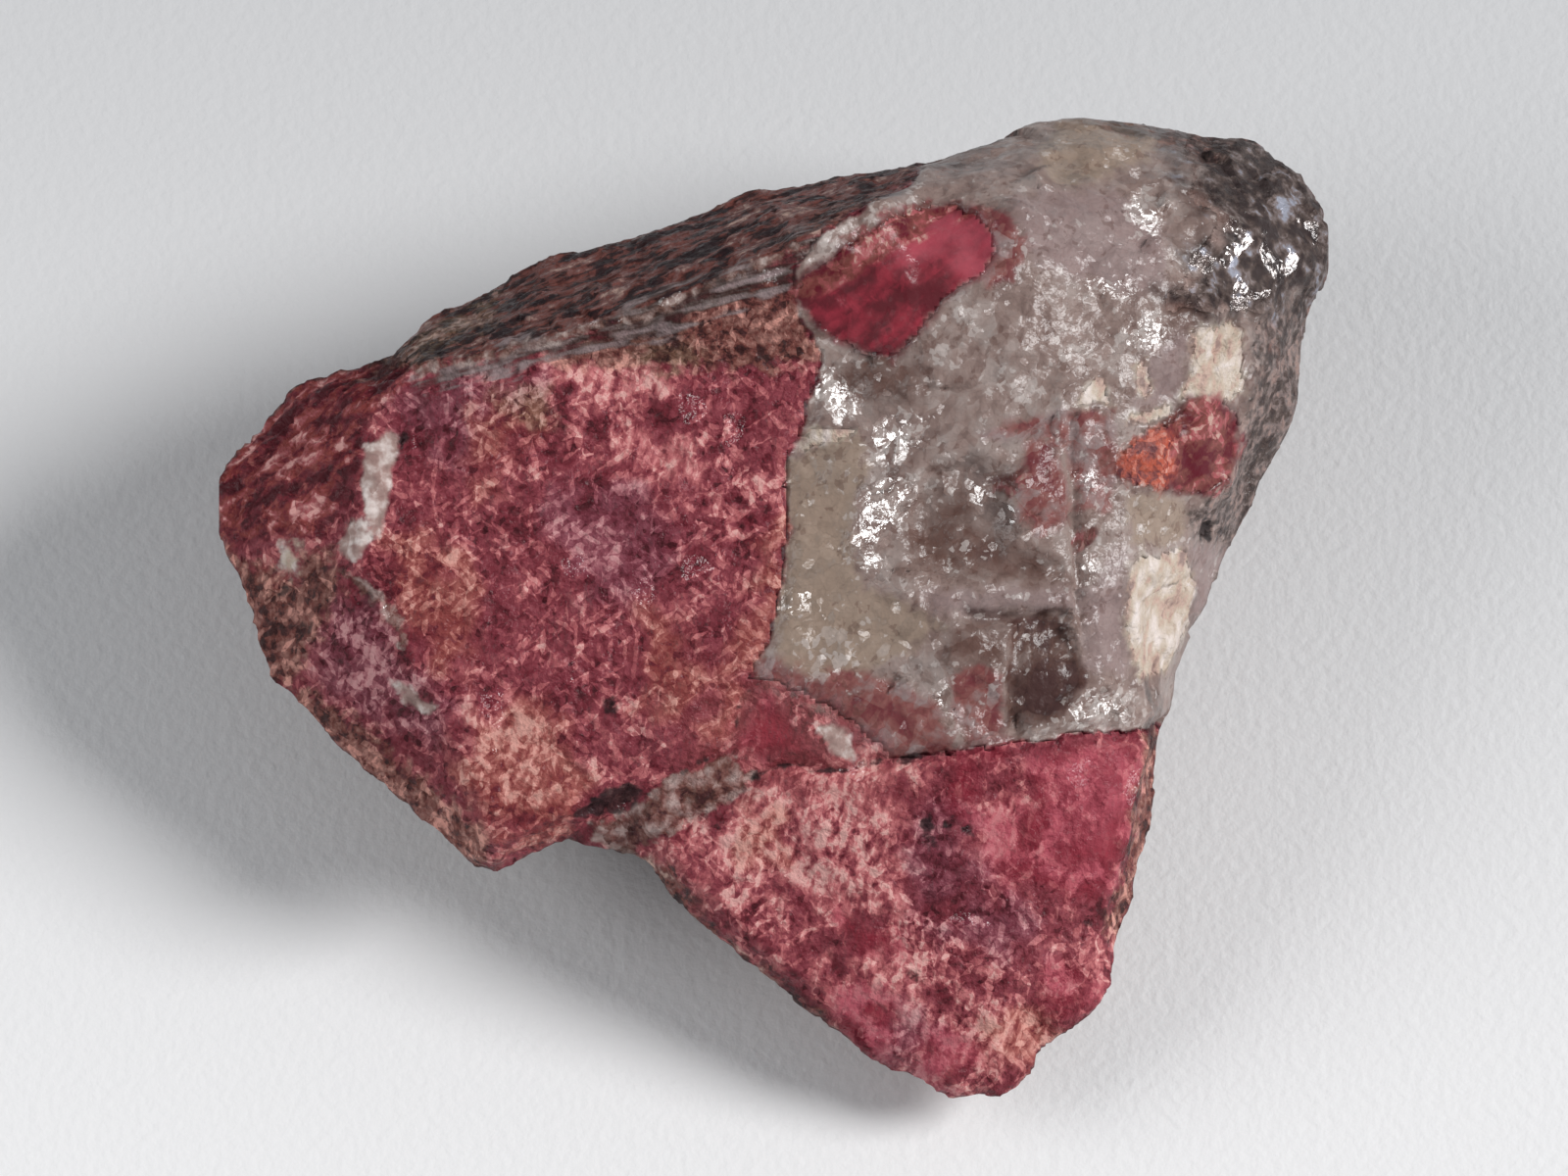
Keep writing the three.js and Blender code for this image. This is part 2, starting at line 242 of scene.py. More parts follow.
        [(14.5, 10.2), (14.6, 11), (15.6, 11.8), (16.2, 10.8), (15.4, 10.1)],
        [(14.6, 16.7), (15.8, 17), (16.2, 16.2), (15.8, 15.1), (15, 15.6)],
        # the mica
        [(18.3, 14.6), (19.5, 16), (20.4, 16), (22.3, 15.4), (22.4, 14.9), (21.7, 13.1),
         (20, 12.5), (18.5, 12.5)],
        [(0, -1.2), (0.3, -0.2), (1.2, -0.1), (0.8, -1.3)],
        [(6.2, -4.6), (6.8, -4.4), (7.1, -5.3), (6.7, -5.2)],
        [(12.5, 12.9), (14.6, 13.3), (14.7, 12.4), (12.9, 12.6)],
        [(-18.8, 0.8), (-17.8, 0.2), (-16.6, -0.8), (-17, -1.2), (-18, -0.5)],
    ],
    "dark": [
        # the back side above the long ridge
        [(-17.6, 9.5), (-16.7, 9.6), (-15.6, 9.3), (-13.3, 9.7), (-10, 10.2), (-6.7, 11.1),
         (-3.3, 12.3), (0, 13.9), (2.5, 15.6), (4.4, 16.8), (5.6, 17.4), (6.2, 18.8), (0, 20.8),
         (-8.3, 17.5), (-14.6, 13.3), (-17.5, 10.8)],
        # painted shade on the edge under the lower block, where it turns under
        [(-6.7, -10.9), (-4.6, -11.8), (-2.5, -14.4), (-0.4, -16), (1.5, -17.5), (2.6, -18.6),
         (2.5, -20), (0, -19.2), (-3.3, -17.1), (-6.7, -13.8), (-8.3, -11.7)],
    ],
    "brown": [
        # the band under the long ridge
        [(-10, 9.6), (-8.3, 10.3), (-6.7, 11), (-3.3, 12.3), (0, 13.8), (0.6, 13.3),
         (0.5, 12.1), (1.5, 10.4), (1.2, 9.6), (-0.8, 9.2), (-4.2, 9.4), (-7.5, 9.2)],
        # the bumpy patch on the left edge
        [(-23.8, 1.7), (-22.4, 0.9), (-21.5, 0.3), (-20.7, 0.5), (-20.3, 1.5), (-19.2, 1.7),
         (-18.9, 0), (-19.2, -0.8), (-19.7, -1.9), (-20.5, -3.1), (-21.3, -4.4), (-23.8, -4.2)],
        # the rim of the left block
        [(-21.3, -4.4), (-20, -4.4), (-16.7, -6.9), (-14.6, -8.8), (-12.5, -10.4),
         (-12.5, -12.5), (-16.7, -12.5), (-21.7, -6.7)],
        # the right edge of the lower block
        [(15.5, -6.1), (17.1, -6), (16.7, -9.2), (15.4, -13.3), (14.6, -15), (13.8, -14.5),
         (14.6, -12.1), (15.1, -8.3)],
    ],
    "skin": [
        # the skin down the right edge
        [(20.4, 11.6), (22.7, 12.8), (25, 12.5), (24.2, 7.5), (20.8, 3.3), (19.2, 1.7),
         (18.4, 2.2), (17.4, 2.2), (17.2, 3.1), (17.9, 3.8), (18.9, 4.5), (19.4, 6.7),
         (20.1, 8.7), (19.9, 10.4)],
    ],
    "vein": [
        # the grey wedge at the notch
        [(-8.3, -10.1), (-6.7, -9.8), (-6, -9.2), (-5.3, -8.3), (-4.2, -7.8), (-2.5, -7.2),
         (-1.2, -7.9), (-1.5, -8.6), (-4.2, -10), (-4.6, -10.5), (-6, -10.9), (-6.7, -11.5),
         (-7.8, -10.9)],
    ],
    "streaked": [
        [(-25.8, 4.2), (-24, 6.7), (-20.8, 9.2), (-18.8, 10.4), (-16.7, 10.1), (-15.5, 9.6),
         (-16.6, 8.3), (-17.5, 7.1), (-17.8, 6.2), (-18, 4.6), (-18.8, 3.7), (-19.6, 2.2),
         (-20.8, 2.1), (-21.5, 2.2), (-23.1, 1.8), (-25.8, 1.7)],
    ],
    "purple": [
        [(-19.2, -0.9), (-17.9, -0.1), (-16.8, -0.5), (-16.2, -2.1), (-15.4, -3.7),
         (-14.1, -5.1), (-15, -6.3), (-16.7, -5.8), (-18.3, -5.3), (-19.7, -4.2), (-20.1, -3.4),
         (-19.7, -2.1)],
        [(-10, 4.2), (-6.7, 4.6), (-4.6, 2.5), (-5, 0), (-7.9, -0.8), (-9.6, 1.2)],
        [(5.6, -9.1), (7.5, -9.1), (8.2, -11.3), (8.5, -13), (10.9, -13.7), (10.4, -15.4),
         (7.5, -14.7), (5.6, -13.5), (5.2, -11.1)],
        [(-16.7, 8.3), (-13.8, 9), (-10, 8.8), (-10.8, 7.5), (-13.8, 5.4), (-16.2, 6.7)],
        [(3.3, -17.9), (5.8, -17.9), (7.1, -20), (5, -20)],
    ],
    "tan": [
        [(-12.6, 8.1), (-9.9, 7.8), (-9.6, 6.7), (-11.7, 5.8), (-12.5, 4.2), (-13.1, 5.8)],
        [(-16.7, 1.7), (-15, 2.5), (-13.3, 0), (-12.5, -2.1), (-13.8, -3.8), (-15.4, -2.5),
         (-16.5, -0.8)],
        [(-13.3, -5.8), (-10, -5), (-8.3, -8.3), (-8.8, -10.4), (-11.7, -10.8), (-13.8, -8.3)],
        [(-5.8, -0.8), (-4.2, -1.7), (-3.3, -4.2), (-4.6, -5.8), (-5.8, -3.8)],
        [(-22.9, 1.2), (-20.8, 0.4), (-21.2, 0), (-22.4, -0.9), (-22.9, -0.4)],
        [(-0.8, 2.5), (0.2, 2.9), (0, 0), (-0.6, -1.8), (-1.7, -4.2), (-2.5, -6.7),
         (-3.3, -7.5), (-2.7, -4.2), (-1, -0.8)],
        [(8.3, -18.8), (10.8, -17.9), (12.5, -18.3), (10, -20.8), (8.8, -20)],
        [(-1.7, -9.6), (0, -9.6), (0.4, -11.2), (-0.4, -12.1), (-1.5, -11.2)],
    ],
    "rusty": [
        # the upper edge of the lens
        [(0.3, 12.2), (0.8, 13.4), (2.1, 14.3), (3.3, 15.2), (4.4, 16), (6.2, 16.4),
         (7.7, 16.4), (8.3, 16), (7.3, 15.8), (5.8, 15.2), (4.9, 14.6), (4, 13.9), (2.9, 13.2),
         (1.7, 12.7), (0.9, 12)],
        # the right half of the orange crystal
        [(16.2, 7), (17.7, 8.2), (19.2, 7.5), (19.3, 5.8), (18.8, 4.5), (17.6, 3.9),
         (16.5, 4.3), (16.5, 5.8)],
        # small chips in the quartz
        [(12.5, 2.5), (13.3, 2.6), (13.2, 1.3), (12.7, 1.7)],
        [(8.9, 4.8), (10.2, 5.1), (10, 4.2), (9, 4.2)],
    ],
    "dense": [
        [(-19.2, -0.9), (-17.9, -0.1), (-16.8, -0.5), (-16.2, -2.1), (-15, -4.2), (-14.1, -5.1),
         (-15, -6.3), (-16.7, -5.8), (-18.8, -4.8), (-19.8, -3.3)],
        [(5.4, -17.1), (8.3, -16.7), (12.1, -17.9), (10.8, -20.4), (8.3, -21.2), (5.4, -20)],
        [(-4.8, -10.9), (-2.5, -9.5), (-0.4, -8.3), (3.5, -8.3), (4.4, -10.4), (5.2, -13.3),
         (3.3, -13.8), (2.1, -12.2), (0, -12.6), (-0.8, -15.1), (-2.5, -13.8), (-4.2, -12.1)],
        [(-13.3, 8.7), (-10, 9.5), (-5, 8.5), (-5.4, 6.7), (-8.3, 5.4), (-10.8, 5.8),
         (-13.8, 6.7)],
        [(-4.6, 6.7), (-0.2, 5.8), (0, 1.7), (-1.7, 0), (-3.3, 4.2)],
        [(-15.8, -5.8), (-12.5, -5), (-10, -7.5), (-11.7, -10.4), (-14.6, -8.3)],
        [(-16.7, 2.5), (-15, 4.6), (-13.3, 2.5), (-14.6, 0), (-16.2, -0.8)],
        [(0, -7.9), (2.9, -7.5), (4.2, -7.3), (3.8, -8.3), (0.8, -8.8)],
        [(-0.4, -4.2), (1.7, -4.6), (4.2, -6), (4.6, -7.3), (2.1, -7.7), (0.8, -6.4)],
        [(3.3, -14.2), (6.7, -13.8), (8.3, -16.2), (5, -16.7)],
        [(11.7, -15), (13.8, -14.6), (13.3, -17.1), (12.5, -16.7)],
    ],
    "ridge": [
        # grey ribs along the long ridge
        [(-15.6, 8.7), (-13.8, 9.5), (-10.8, 10.3), (-8.3, 11), (-6.2, 12), (-4.2, 12.9),
         (-1.7, 13.7), (0, 14.3), (1.1, 15.2), (2.2, 15), (1.2, 13.8), (0, 12.9), (-2.5, 11.8),
         (-4.6, 10.9), (-7.5, 10.2), (-10, 9.8), (-12.5, 9.4), (-15, 8.3)],
    ],
    "olive": [
        [(-16.8, 9.8), (-15.6, 10.9), (-13.8, 11.9), (-12.3, 12.5), (-12.3, 11.3),
         (-14.1, 10.4), (-15.6, 9.6)],
        [(-12.5, 8.8), (-10, 8.4), (-9.4, 7.1), (-10.6, 6.7), (-12.3, 7.9)],
        [(-6.7, 10.4), (-4.2, 10.6), (-3.3, 9.5), (-5.8, 9.2)],
    ],
    "pink": [
        [(-3.9, -10.3), (-1.9, -8.9), (0.2, -7.9), (2.2, -7.4), (5.7, -7.4), (5.3, -10.6),
         (5.1, -14), (3.1, -14.7), (2.2, -13), (-0.2, -13), (-3.1, -12.5)],
        [(9.2, -8.2), (10, -7.7), (10.6, -8.4), (10.1, -10.6), (9.2, -11.3), (8.5, -11.1)],
        [(-0.2, -14.9), (4.1, -14.9), (6, -16.9), (9.4, -17.8), (11.8, -18.8), (9.4, -20.3),
         (6, -20.3), (2.7, -16.9)],
        [(-14, -5.4), (-11.5, -5.2), (-10, -7.5), (-10.4, -9), (-12.3, -8.3)],
        [(-10, 9.5), (-4.6, 9.2), (-4.6, 8.2), (-8.3, 7.5), (-10, 8.3)],
        [(-7.5, 7.5), (-4.2, 7.1), (-2.5, 5.4), (-4.2, 3.3), (-6.7, 5)],
    ],
    "black": [
        # painted shade in the crevice in the notch
        [(-9, -9.7), (-8.3, -9), (-6.7, -8.3), (-6.2, -8.5), (-6, -8.8), (-6.7, -9.4),
         (-7.9, -9.8)],
        # painted shade in holes in the left edge
        [(-21.5, -0.2), (-21.2, 0), (-20.7, 0), (-20.9, -0.2)],
        [(-20.7, -1.9), (-20.4, -1.5), (-20.1, -1.6), (-20.4, -2)],
        [(-16.5, 6.5), (-16.1, 6.7), (-16, 6.2), (-16.3, 5.8)],
    ],
}
THROUGH_LAYERS = ("quartz", "mica", "dark")
# Layers inside the quartz outline that are not clear.
OPAQUE_LAYERS = ("crystal", "ember", "mica", "cream", "skin", "rosy")
# Dark spots, as (across, up, radius), and lines along edges and steps.
BLACK_SPOTS = [
    (-7.4, -5, 0.33), (6, -10.1, 0.25), (6.2, -10.6, 0.21), (7.1, -10, 0.25), (7.8, -10.2, 0.25),
    (5.5, -16.5, 0.25), (12.9, -14.2, 0.25), (18.2, 2.5, 0.42), (5.8, -16.8, 0.17),
]
RIDGE_LINE = [
    (-15.6, 9.0), (-15.0, 9.3), (-13.3, 9.7), (-11.7, 10.1), (-10.0, 10.5), (-8.3, 11.0),
    (-5.8, 11.6), (-3.3, 12.7), (-0.8, 13.8), (0.8, 14.5),
]
# Pale paint along this line is a painted highlight: the sparkles on the ridge of the lower left
# facet.
SPARKLE_LINE = [(-18.8, 0.8), (-17.8, 0.0), (-16.8, -0.9), (-16.2, -2.1)]
LOWER_STEP_LINE = [
    (-5.3, -10.8), (-2.5, -9.2), (-1.2, -8.1), (0.0, -7.5), (2.5, -7.8), (4.2, -7.4),
    (6.7, -7.0), (10.4, -6.5), (12.5, -6.1), (14.6, -6.1), (16.5, -5.9),
]
QUARTZ_STEP_LINE = [
    (1.3, 8.1), (0.6, 6.2), (0.2, 5.4), (0.2, 2.5), (0.0, 0.0), (-0.5, -1.9), (-1.7, -4.4),
    (-2.5, -6.9), (-4.2, -7.8), (-6.0, -9.0), (-8.3, -10.1),
]
COLUMN_LINE = [(12.2, 7.3), (12.3, 4.2), (12.4, 1.7), (12.6, -0.8), (12.9, -3.8)]
SLIT_LINE = [(7.7, -1.2), (10, -1.3), (12, -1.2)]
# Thin lines that belong to a layer, as (line, half of its width in mm): painted shade in the
# cracks along both sides of the wedge between the main face and the quartz, a pale vein on the
# long ridge, and a painted highlight of sparkles on the left facet.
LAYER_LINES = {
    "black": [(LOWER_STEP_LINE[2:7], 0.06), (QUARTZ_STEP_LINE[6:9], 0.06)],
    "vein": [(RIDGE_LINE, 0.16), (SPARKLE_LINE, 0.2)],
}
# Grooves along those lines, as (line, depth, width), and sunken places, as (outline, depth,
# width of the slope into them), all in mm.
GROOVES = [
    (LOWER_STEP_LINE, 0.45, 0.4), (QUARTZ_STEP_LINE, 0.3, 0.35), (COLUMN_LINE, 0.4, 0.25),
    (SLIT_LINE, 0.6, 0.28),
]
HOLLOW = [
    (5.2, 4.2), (5.8, 5.3), (7.7, 6.2), (9.8, 5.4), (10, 2.2), (12.1, 1.2), (11.9, 0),
    (10, -0.2), (6.7, -0.1), (5.2, 0.8), (4.8, 2.5),
]
WINDOW = [
    (9.7, -1.7), (11, -1.2), (12.3, -1.7), (12.8, -3.8), (11.2, -5.7), (9.6, -6.3),
    (9.3, -4.2),
]
HOLLOWS = [(HOLLOW, 0.8, 1.2), (WINDOW, 0.6, 0.3)]
# Swellings and, where the height is negative, dents along the rim, as (line, height, width).
SWELLS = [
    ([(-4.6, -13.1), (-1.7, -15.5), (2.1, -18.5), (5.4, -20.8), (6.7, -21.5)], 0.5, 1),
    ([(-24.3, 1.7), (-24.3, 4.2), (-23.3, 6.2)], 0.3, 1),
    ([(-22.4, 8.1), (-19.6, 9.8)], 0.25, 1),
    ([(13.3, -17.3), (11.7, -19), (10, -20.6)], 0.4, 1),
    ([(23, 15.6), (22.7, 13.1)], 0.25, 1),
    ([(16.6, -6.2), (15.8, -10.4), (14.4, -14.6)], -0.4, 1),
    ([(20.4, 4.4), (19.1, 1.2)], -0.4, 1),
    ([(-16.7, 10.6), (-13.3, 12.9), (-10, 14.4), (-4, 16.2), (0, 17.2), (3.9, 18)], -0.3, 1),
]

# How the outlines wander to and fro, as (size, amount, seeds) in mm.
OUTLINE_WANDERS = [(1.9, 0.16, (3.1, 17.7)), (0.7, 0.12, (9.3, 31.9))]

# Patches on the sides that the outlines do not reach, as (size, reach, offset) in mm.
HIDDEN_PATCHES = {
    "cream": (4.5, 2.2, -0.9),
    "milk": (3.0, 2.0, -0.2),
    "smoky": (5.0, 2.0, 0.0),
    "blush": (4.0, 2.0, 0.0),
    "dense": (5.0, 2.0, 0.0),
    "tan": (6.0, 2.0, -0.2),
    "purple": (6.5, 2.0, -0.2),
    "brown": (7.0, 3.0, 0.1),
    "skin": (6.0, 3.0, -0.4),
    "dark": (8.0, 3.0, -0.1),
    "vein": (3.4, 1.6, -0.7),
}

# Kinds of relief, as (size in mm, seed, height in mm).
GRAINS_SEED, GRAINS_HEIGHT = 3.3, 0.5
FINE_GRAINS = (0.55, 8.1, 0.28)
GRAIN_CRESTS = (0.9, 14.0, 0.16)
CHIPS_SEED, CHIPS_HEIGHT = 21.0, 0.8
FINE_CHIPS = (1.1, 27.0, 0.12)
CALM_FACETS = (2.2, 55.0, 0.35)
MICA_FLAKES = (0.5, 61.0, 0.2)
SWELLING = (2.6, 2.2, 0.12)
STREAK_HEIGHT = 0.35
SPOT_DEPTH = 0.4
DEEPEST, HIGHEST = -1.6, 0.5
BED_HEIGHT = 0.3  # the relief fades out this close to the table

# Faces at right angles to this line show the lamp: it is half way between lamp and sight.
GLINT = np.array([0.428, -0.217, 0.878])
# Soft fields of tone over the whole stone, as (size in mm, seed).
TONE_FIELDS = {"large": (3.6, 50.3), "patches": (1.3, 62.9), "cloud": (2.2, 77.1)}
FIELDS = ("turned_away_shade", *TONE_FIELDS)
QUARTZ_HEART = np.array([10.0, 4.0, 4.0])  # the point that the quartz narrows towards, in mm
QUARTZ_OVERLAP = 0.06  # how far the clear quartz sinks into the stone under it, in mm
FEWEST_FACES = 100  # smaller patches of clear quartz are left to the stone

# The stage, in metres.
PAPER_SIZE = 6.0
LAMP_DISTANCE = 0.8
LAMP_SIZE = 0.32
FILL_DIRECTION = (math.radians(175), math.radians(36))
FILL_DISTANCE = 0.3
FILL_SIZE = 0.2
SKY_COLOUR = (0.86, 0.92, 1.0)
AIM_HEIGHT = 0.01  # the camera aims at a point this high over the middle of the part
SENSOR_WIDTH = 36


# ---------------------------------------------------------------- numbers over the surface


def inside_distance(outline, places):
    """How far each place is inside a closed outline, in mm, and negative outside it."""
    start = np.array(outline, float)
    along = np.roll(start, -1, axis=0) - start
    offset = places[:, None, :] - start[None]
    share = np.clip((offset * along).sum(2) / (along**2).sum(1), 0, 1)
    nearest = np.linalg.norm(offset - share[..., None] * along, axis=2).min(axis=1)
    rises = (start[:, 1] > places[:, 1:2]) != ((start + along)[:, 1] > places[:, 1:2])
    level = np.where(along[:, 1] == 0, 1e-9, along[:, 1])
    meets = start[:, 0] + offset[..., 1] / level * along[:, 0]
    inside = (rises & (places[:, :1] < meets)).sum(axis=1) % 2 == 1
    return np.where(inside, nearest, -nearest)


def line_distance(line, places):
    """How far each place is from an open line, in mm."""
    start = np.array(line[:-1], float)
    along = np.array(line[1:], float) - start
    offset = places[:, None, :] - start[None]
    share = np.clip((offset * along).sum(2) / (along**2).sum(1), 0, 1)
    return np.linalg.norm(offset - share[..., None] * along, axis=2).min(axis=1)


def in_outlines(outlines, places):
    """How far each place is inside the nearest of the outlines, in mm, and -4 far from them."""
    depth = np.full(len(places), -4.0)
    for outline in outlines:
        low = np.min(outline, axis=0) - 4
        high = np.max(outline, axis=0) + 4
        near = ((places > low) & (places < high)).all(axis=1)
        depth[near] = np.maximum(depth[near], inside_distance(outline, places[near]))
    return depth


def in_spots(spots, places):
    """How far each place is inside the nearest of the round spots, in mm."""
    reach = [radius - np.hypot(*(places - (across, up)).T) for across, up, radius in spots]
    return np.max(reach, axis=0)


def smooth_step(values, low, high):
    """From 0 below low to 1 above high."""
    share = np.clip((values - low) / (high - low), 0, 1)
    return share * share * (3 - 2 * share)


def soft_noise(points, size, seed):
    """Smooth noise about -1 to 1, with bumps of that size in mm."""
    return np.array([noise.noise(place) for place in (points / size + seed).tolist()])


def ridge_noise(points, size, seed):
    """Sharp crests on a soft ground, about 0 to 1."""
    places = (points / size + seed).tolist()
    return np.array([noise.ridged_multi_fractal(p, 1.0, 2.1, 3, 1.0, 2.0) for p in places]) / 1.7


def crest_heights(points, size, seed):
    """Sharp crests, about as much above the surface as below it."""
    return ridge_noise(points, size, seed) - 0.6


def chip_heights(points, size, seed):
    """The height of a surface broken into flat chips of that size, in parts of the size."""
    heights = []
    for place in (points / size + seed).tolist():
        spot = Vector(place)
        planes = []
        for site in noise.voronoi(spot)[1][:3]:
            lean = noise.cell_vector(site * 5.3) - Vector((0.5, 0.5, 0.5))
            planes.append(lean.dot(spot - site) - 0.25 * (spot - site).length_squared)
        heights.append(max(planes))
    return np.array(heights)


# ---------------------------------------------------------------- meshes


def only_select(thing):
    bpy.ops.object.select_all(action="DESELECT")
    thing.select_set(True)
    bpy.context.view_layer.objects.active = thing


def apply_modifier(thing, name, kind, **settings):
    modifier = thing.modifiers.new(name, kind)
    for setting, value in settings.items():
        setattr(modifier, setting, value)
    only_select(thing)
    bpy.ops.object.modifier_apply(modifier=name)


def new_piece(name, mesh):
    piece = bpy.data.objects.new(name, mesh)
    bpy.context.scene.collection.objects.link(piece)
    return piece


def points_of(mesh):
    points = np.empty(len(mesh.vertices) * 3, np.float32)
    mesh.vertices.foreach_get("co", points)
    return points.reshape(-1, 3).astype(float) / MM


def move_points(mesh, points):
    mesh.vertices.foreach_set("co", (points * MM).astype(np.float32).ravel())
    mesh.update()


def normals_of(mesh):
    normals = np.empty(len(mesh.vertices) * 3, np.float32)
    mesh.vertex_normals.foreach_get("vector", normals)
    return normals.reshape(-1, 3).astype(float)


def faces_of(mesh):
    faces = np.empty(len(mesh.loops), np.int32)
    mesh.loops.foreach_get("vertex_index", faces)
    return faces.reshape(-1, 4)


def keep_layer(mesh, name, values):
    layer = mesh.attributes.new(name, "FLOAT", "POINT")
    layer.data.foreach_set("value", np.asarray(values, np.float32))


def layer_of(mesh, name):
    values = np.empty(len(mesh.vertices), np.float32)
    mesh.attributes[name].data.foreach_get("value", values)
    return values.astype(float)


def finish_piece(piece, material):
    """Gives the piece its material, hangs it on the body and hides the CAD part."""
    piece.data.materials.clear()
    piece.data.materials.append(material)
    only_select(piece)
    bpy.ops.object.shade_smooth()
    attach(piece, BODY)
    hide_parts(NODE)


def fine_surface(sizes):
    """A copy of the CAD stone with small even faces."""
    stone = new_piece(STONE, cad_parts[NODE].data.copy())
    only_select(stone)
    bpy.ops.object.mode_set(mode="EDIT")
    bpy.ops.mesh.select_all(action="SELECT")
    bpy.ops.mesh.remove_doubles(threshold=1e-6)
    bpy.ops.mesh.normals_make_consistent(inside=False)
    bpy.ops.object.mode_set(mode="OBJECT")
    apply_modifier(stone, "even faces", "REMESH", mode="VOXEL", voxel_size=sizes.face_size)
    apply_modifier(stone, "soft edges", "SMOOTH", factor=0.5, iterations=sizes.edge_softness)
    return stone


def map_layers(mesh):
    """Stores, for each mineral, how far every point is inside it, in mm."""
    points = points_of(mesh)
    facing = normals_of(mesh) @ SIGHT
    places = np.stack([points[:, 0], points @ SIGHT_UP], axis=1)
    for size, amount, seeds in OUTLINE_WANDERS:
        places += np.stack([soft_noise(points, size, seed) for seed in seeds], axis=1) * amount
    hidden_depth = 3 * (1 - smooth_step(facing, -0.15, 0.1))

    for seed, (name, outlines) in enumerate(OUTLINES.items()):
        depth = in_outlines(outlines, places)
        if name == "black":
            depth = np.maximum(depth, in_spots(BLACK_SPOTS, places))
        for line, half_width in LAYER_LINES.get(name, ()):
            depth = np.maximum(depth, half_width - line_distance(line, places))
        if name not in THROUGH_LAYERS:
            depth -= 2 * hidden_depth
        if name in HIDDEN_PATCHES:
            size, reach, offset = HIDDEN_PATCHES[name]
            patches = reach * soft_noise(points, size, 10.7 * seed) + offset
            depth = np.maximum(depth, patches + hidden_depth - 3)
        keep_layer(mesh, name, np.clip(depth, -4, 4))
    # Painted shade: dark paint marked where the surface turns away from the line of sight, along
    # the rim and on the far sides, with some noise.
    turned_away_shade = np.minimum(3 * (0.22 - facing), 0.3) + 0.7 * soft_noise(points, 5.0, 40.0)
    keep_layer(mesh, "turned_away_shade", turned_away_shade)
    for name, (size, seed) in TONE_FIELDS.items():
        field = soft_noise(points, size, seed) + 0.5 * soft_noise(points, size / 2, seed + 5)
        keep_layer(mesh, name, 0.5 + 0.09 * field / field.std())


def relief_of(shape, points, kind):
    """The heights of one kind of relief, in mm."""
    size, seed, height = kind
    return shape(points, size, seed) * height


def roughen(mesh, sizes):
    """Breaks the even surface into grains, chips and steps."""
    points = points_of(mesh)
    normals = normals_of(mesh)
    places = np.stack([points[:, 0], points @ SIGHT_UP], axis=1)
    quartz = smooth_step(layer_of(mesh, "quartz"), -0.2, 0.3)
    mica = smooth_step(layer_of(mesh, "mica"), -0.3, 0.3)
    crystal = smooth_step(layer_of(mesh, "crystal"), -0.1, 0.4)
    khaki = smooth_step(layer_of(mesh, "khaki"), -0.1, 0.4)
    smoky = smooth_step(layer_of(mesh, "smoky"), -0.1, 0.5)
    streaked = smooth_step(layer_of(mesh, "streaked"), -0.4, 0.4)
    calm = np.clip(crystal + khaki * 0.9 + smoky * 0.7, 0, 1)

    grain_kind = (sizes.grain_size / MM, GRAINS_SEED, GRAINS_HEIGHT)
    chip_kind = (sizes.chip_size / MM, CHIPS_SEED, CHIPS_HEIGHT)
    grains = (relief_of(chip_heights, points, grain_kind)
              + relief_of(chip_heights, points, FINE_GRAINS)
              + relief_of(crest_heights, points, GRAIN_CRESTS))
    chips = (relief_of(chip_heights, points, chip_kind)
             + relief_of(chip_heights, points, FINE_CHIPS))
    height = 0.55 * grains * (1 - quartz) * (1 - calm * 0.8)
    height += chips * quartz * (1 - calm * 0.7)
    height += relief_of(chip_heights, points, CALM_FACETS) * calm
    height += streak_heights(points) * STREAK_HEIGHT * streaked
    height += relief_of(chip_heights, points, MICA_FLAKES) * mica
    height += relief_of(soft_noise, points, SWELLING)
    height -= SPOT_DEPTH * smooth_step(layer_of(mesh, "black"), -0.05, 0.35)
    shown = smooth_step(normals @ SIGHT, 0.0, 0.3)
    for line, depth, width in GROOVES:
        height -= shown * depth * np.exp(-((line_distance(line, places) / width) ** 2))
    for line, rise, width in SWELLS:
        height += rise * np.exp(-((line_distance(line, places) / width) ** 2))
    for outline, depth, slope in HOLLOWS:
        height -= shown * depth * smooth_step(in_outlines([outline], places), -0.1, slope)
    bed = smooth_step(points[:, 2], 0.0, BED_HEIGHT)
    height = np.clip(height * sizes.relief * bed, DEEPEST, HIGHEST)
    points += normals * height[:, None]
    low, high = np.array(CAD_BOX) / MM
    move_points(mesh, np.clip(points, low, high))


def streak_heights(points):
    """Fine ribs that climb to the right, as on a split face."""
    stretched = points @ np.array([[0.25, 0.35, 0], [-0.6, 1.1, 0], [0.3, -0.9, 1.2]]).T
    return crest_heights(stretched, 1.0, 33.0)


# ---------------------------------------------------------------- materials


def from_screen(red, green, blue):
    """A colour as light values, from its 0 to 255 screen values."""
    shares = [channel / 255 for channel in (red, green, blue)]
    return [s / 12.92 if s <= 0.04045 else ((s + 0.055) / 1.055) ** 2.4 for s in shares]


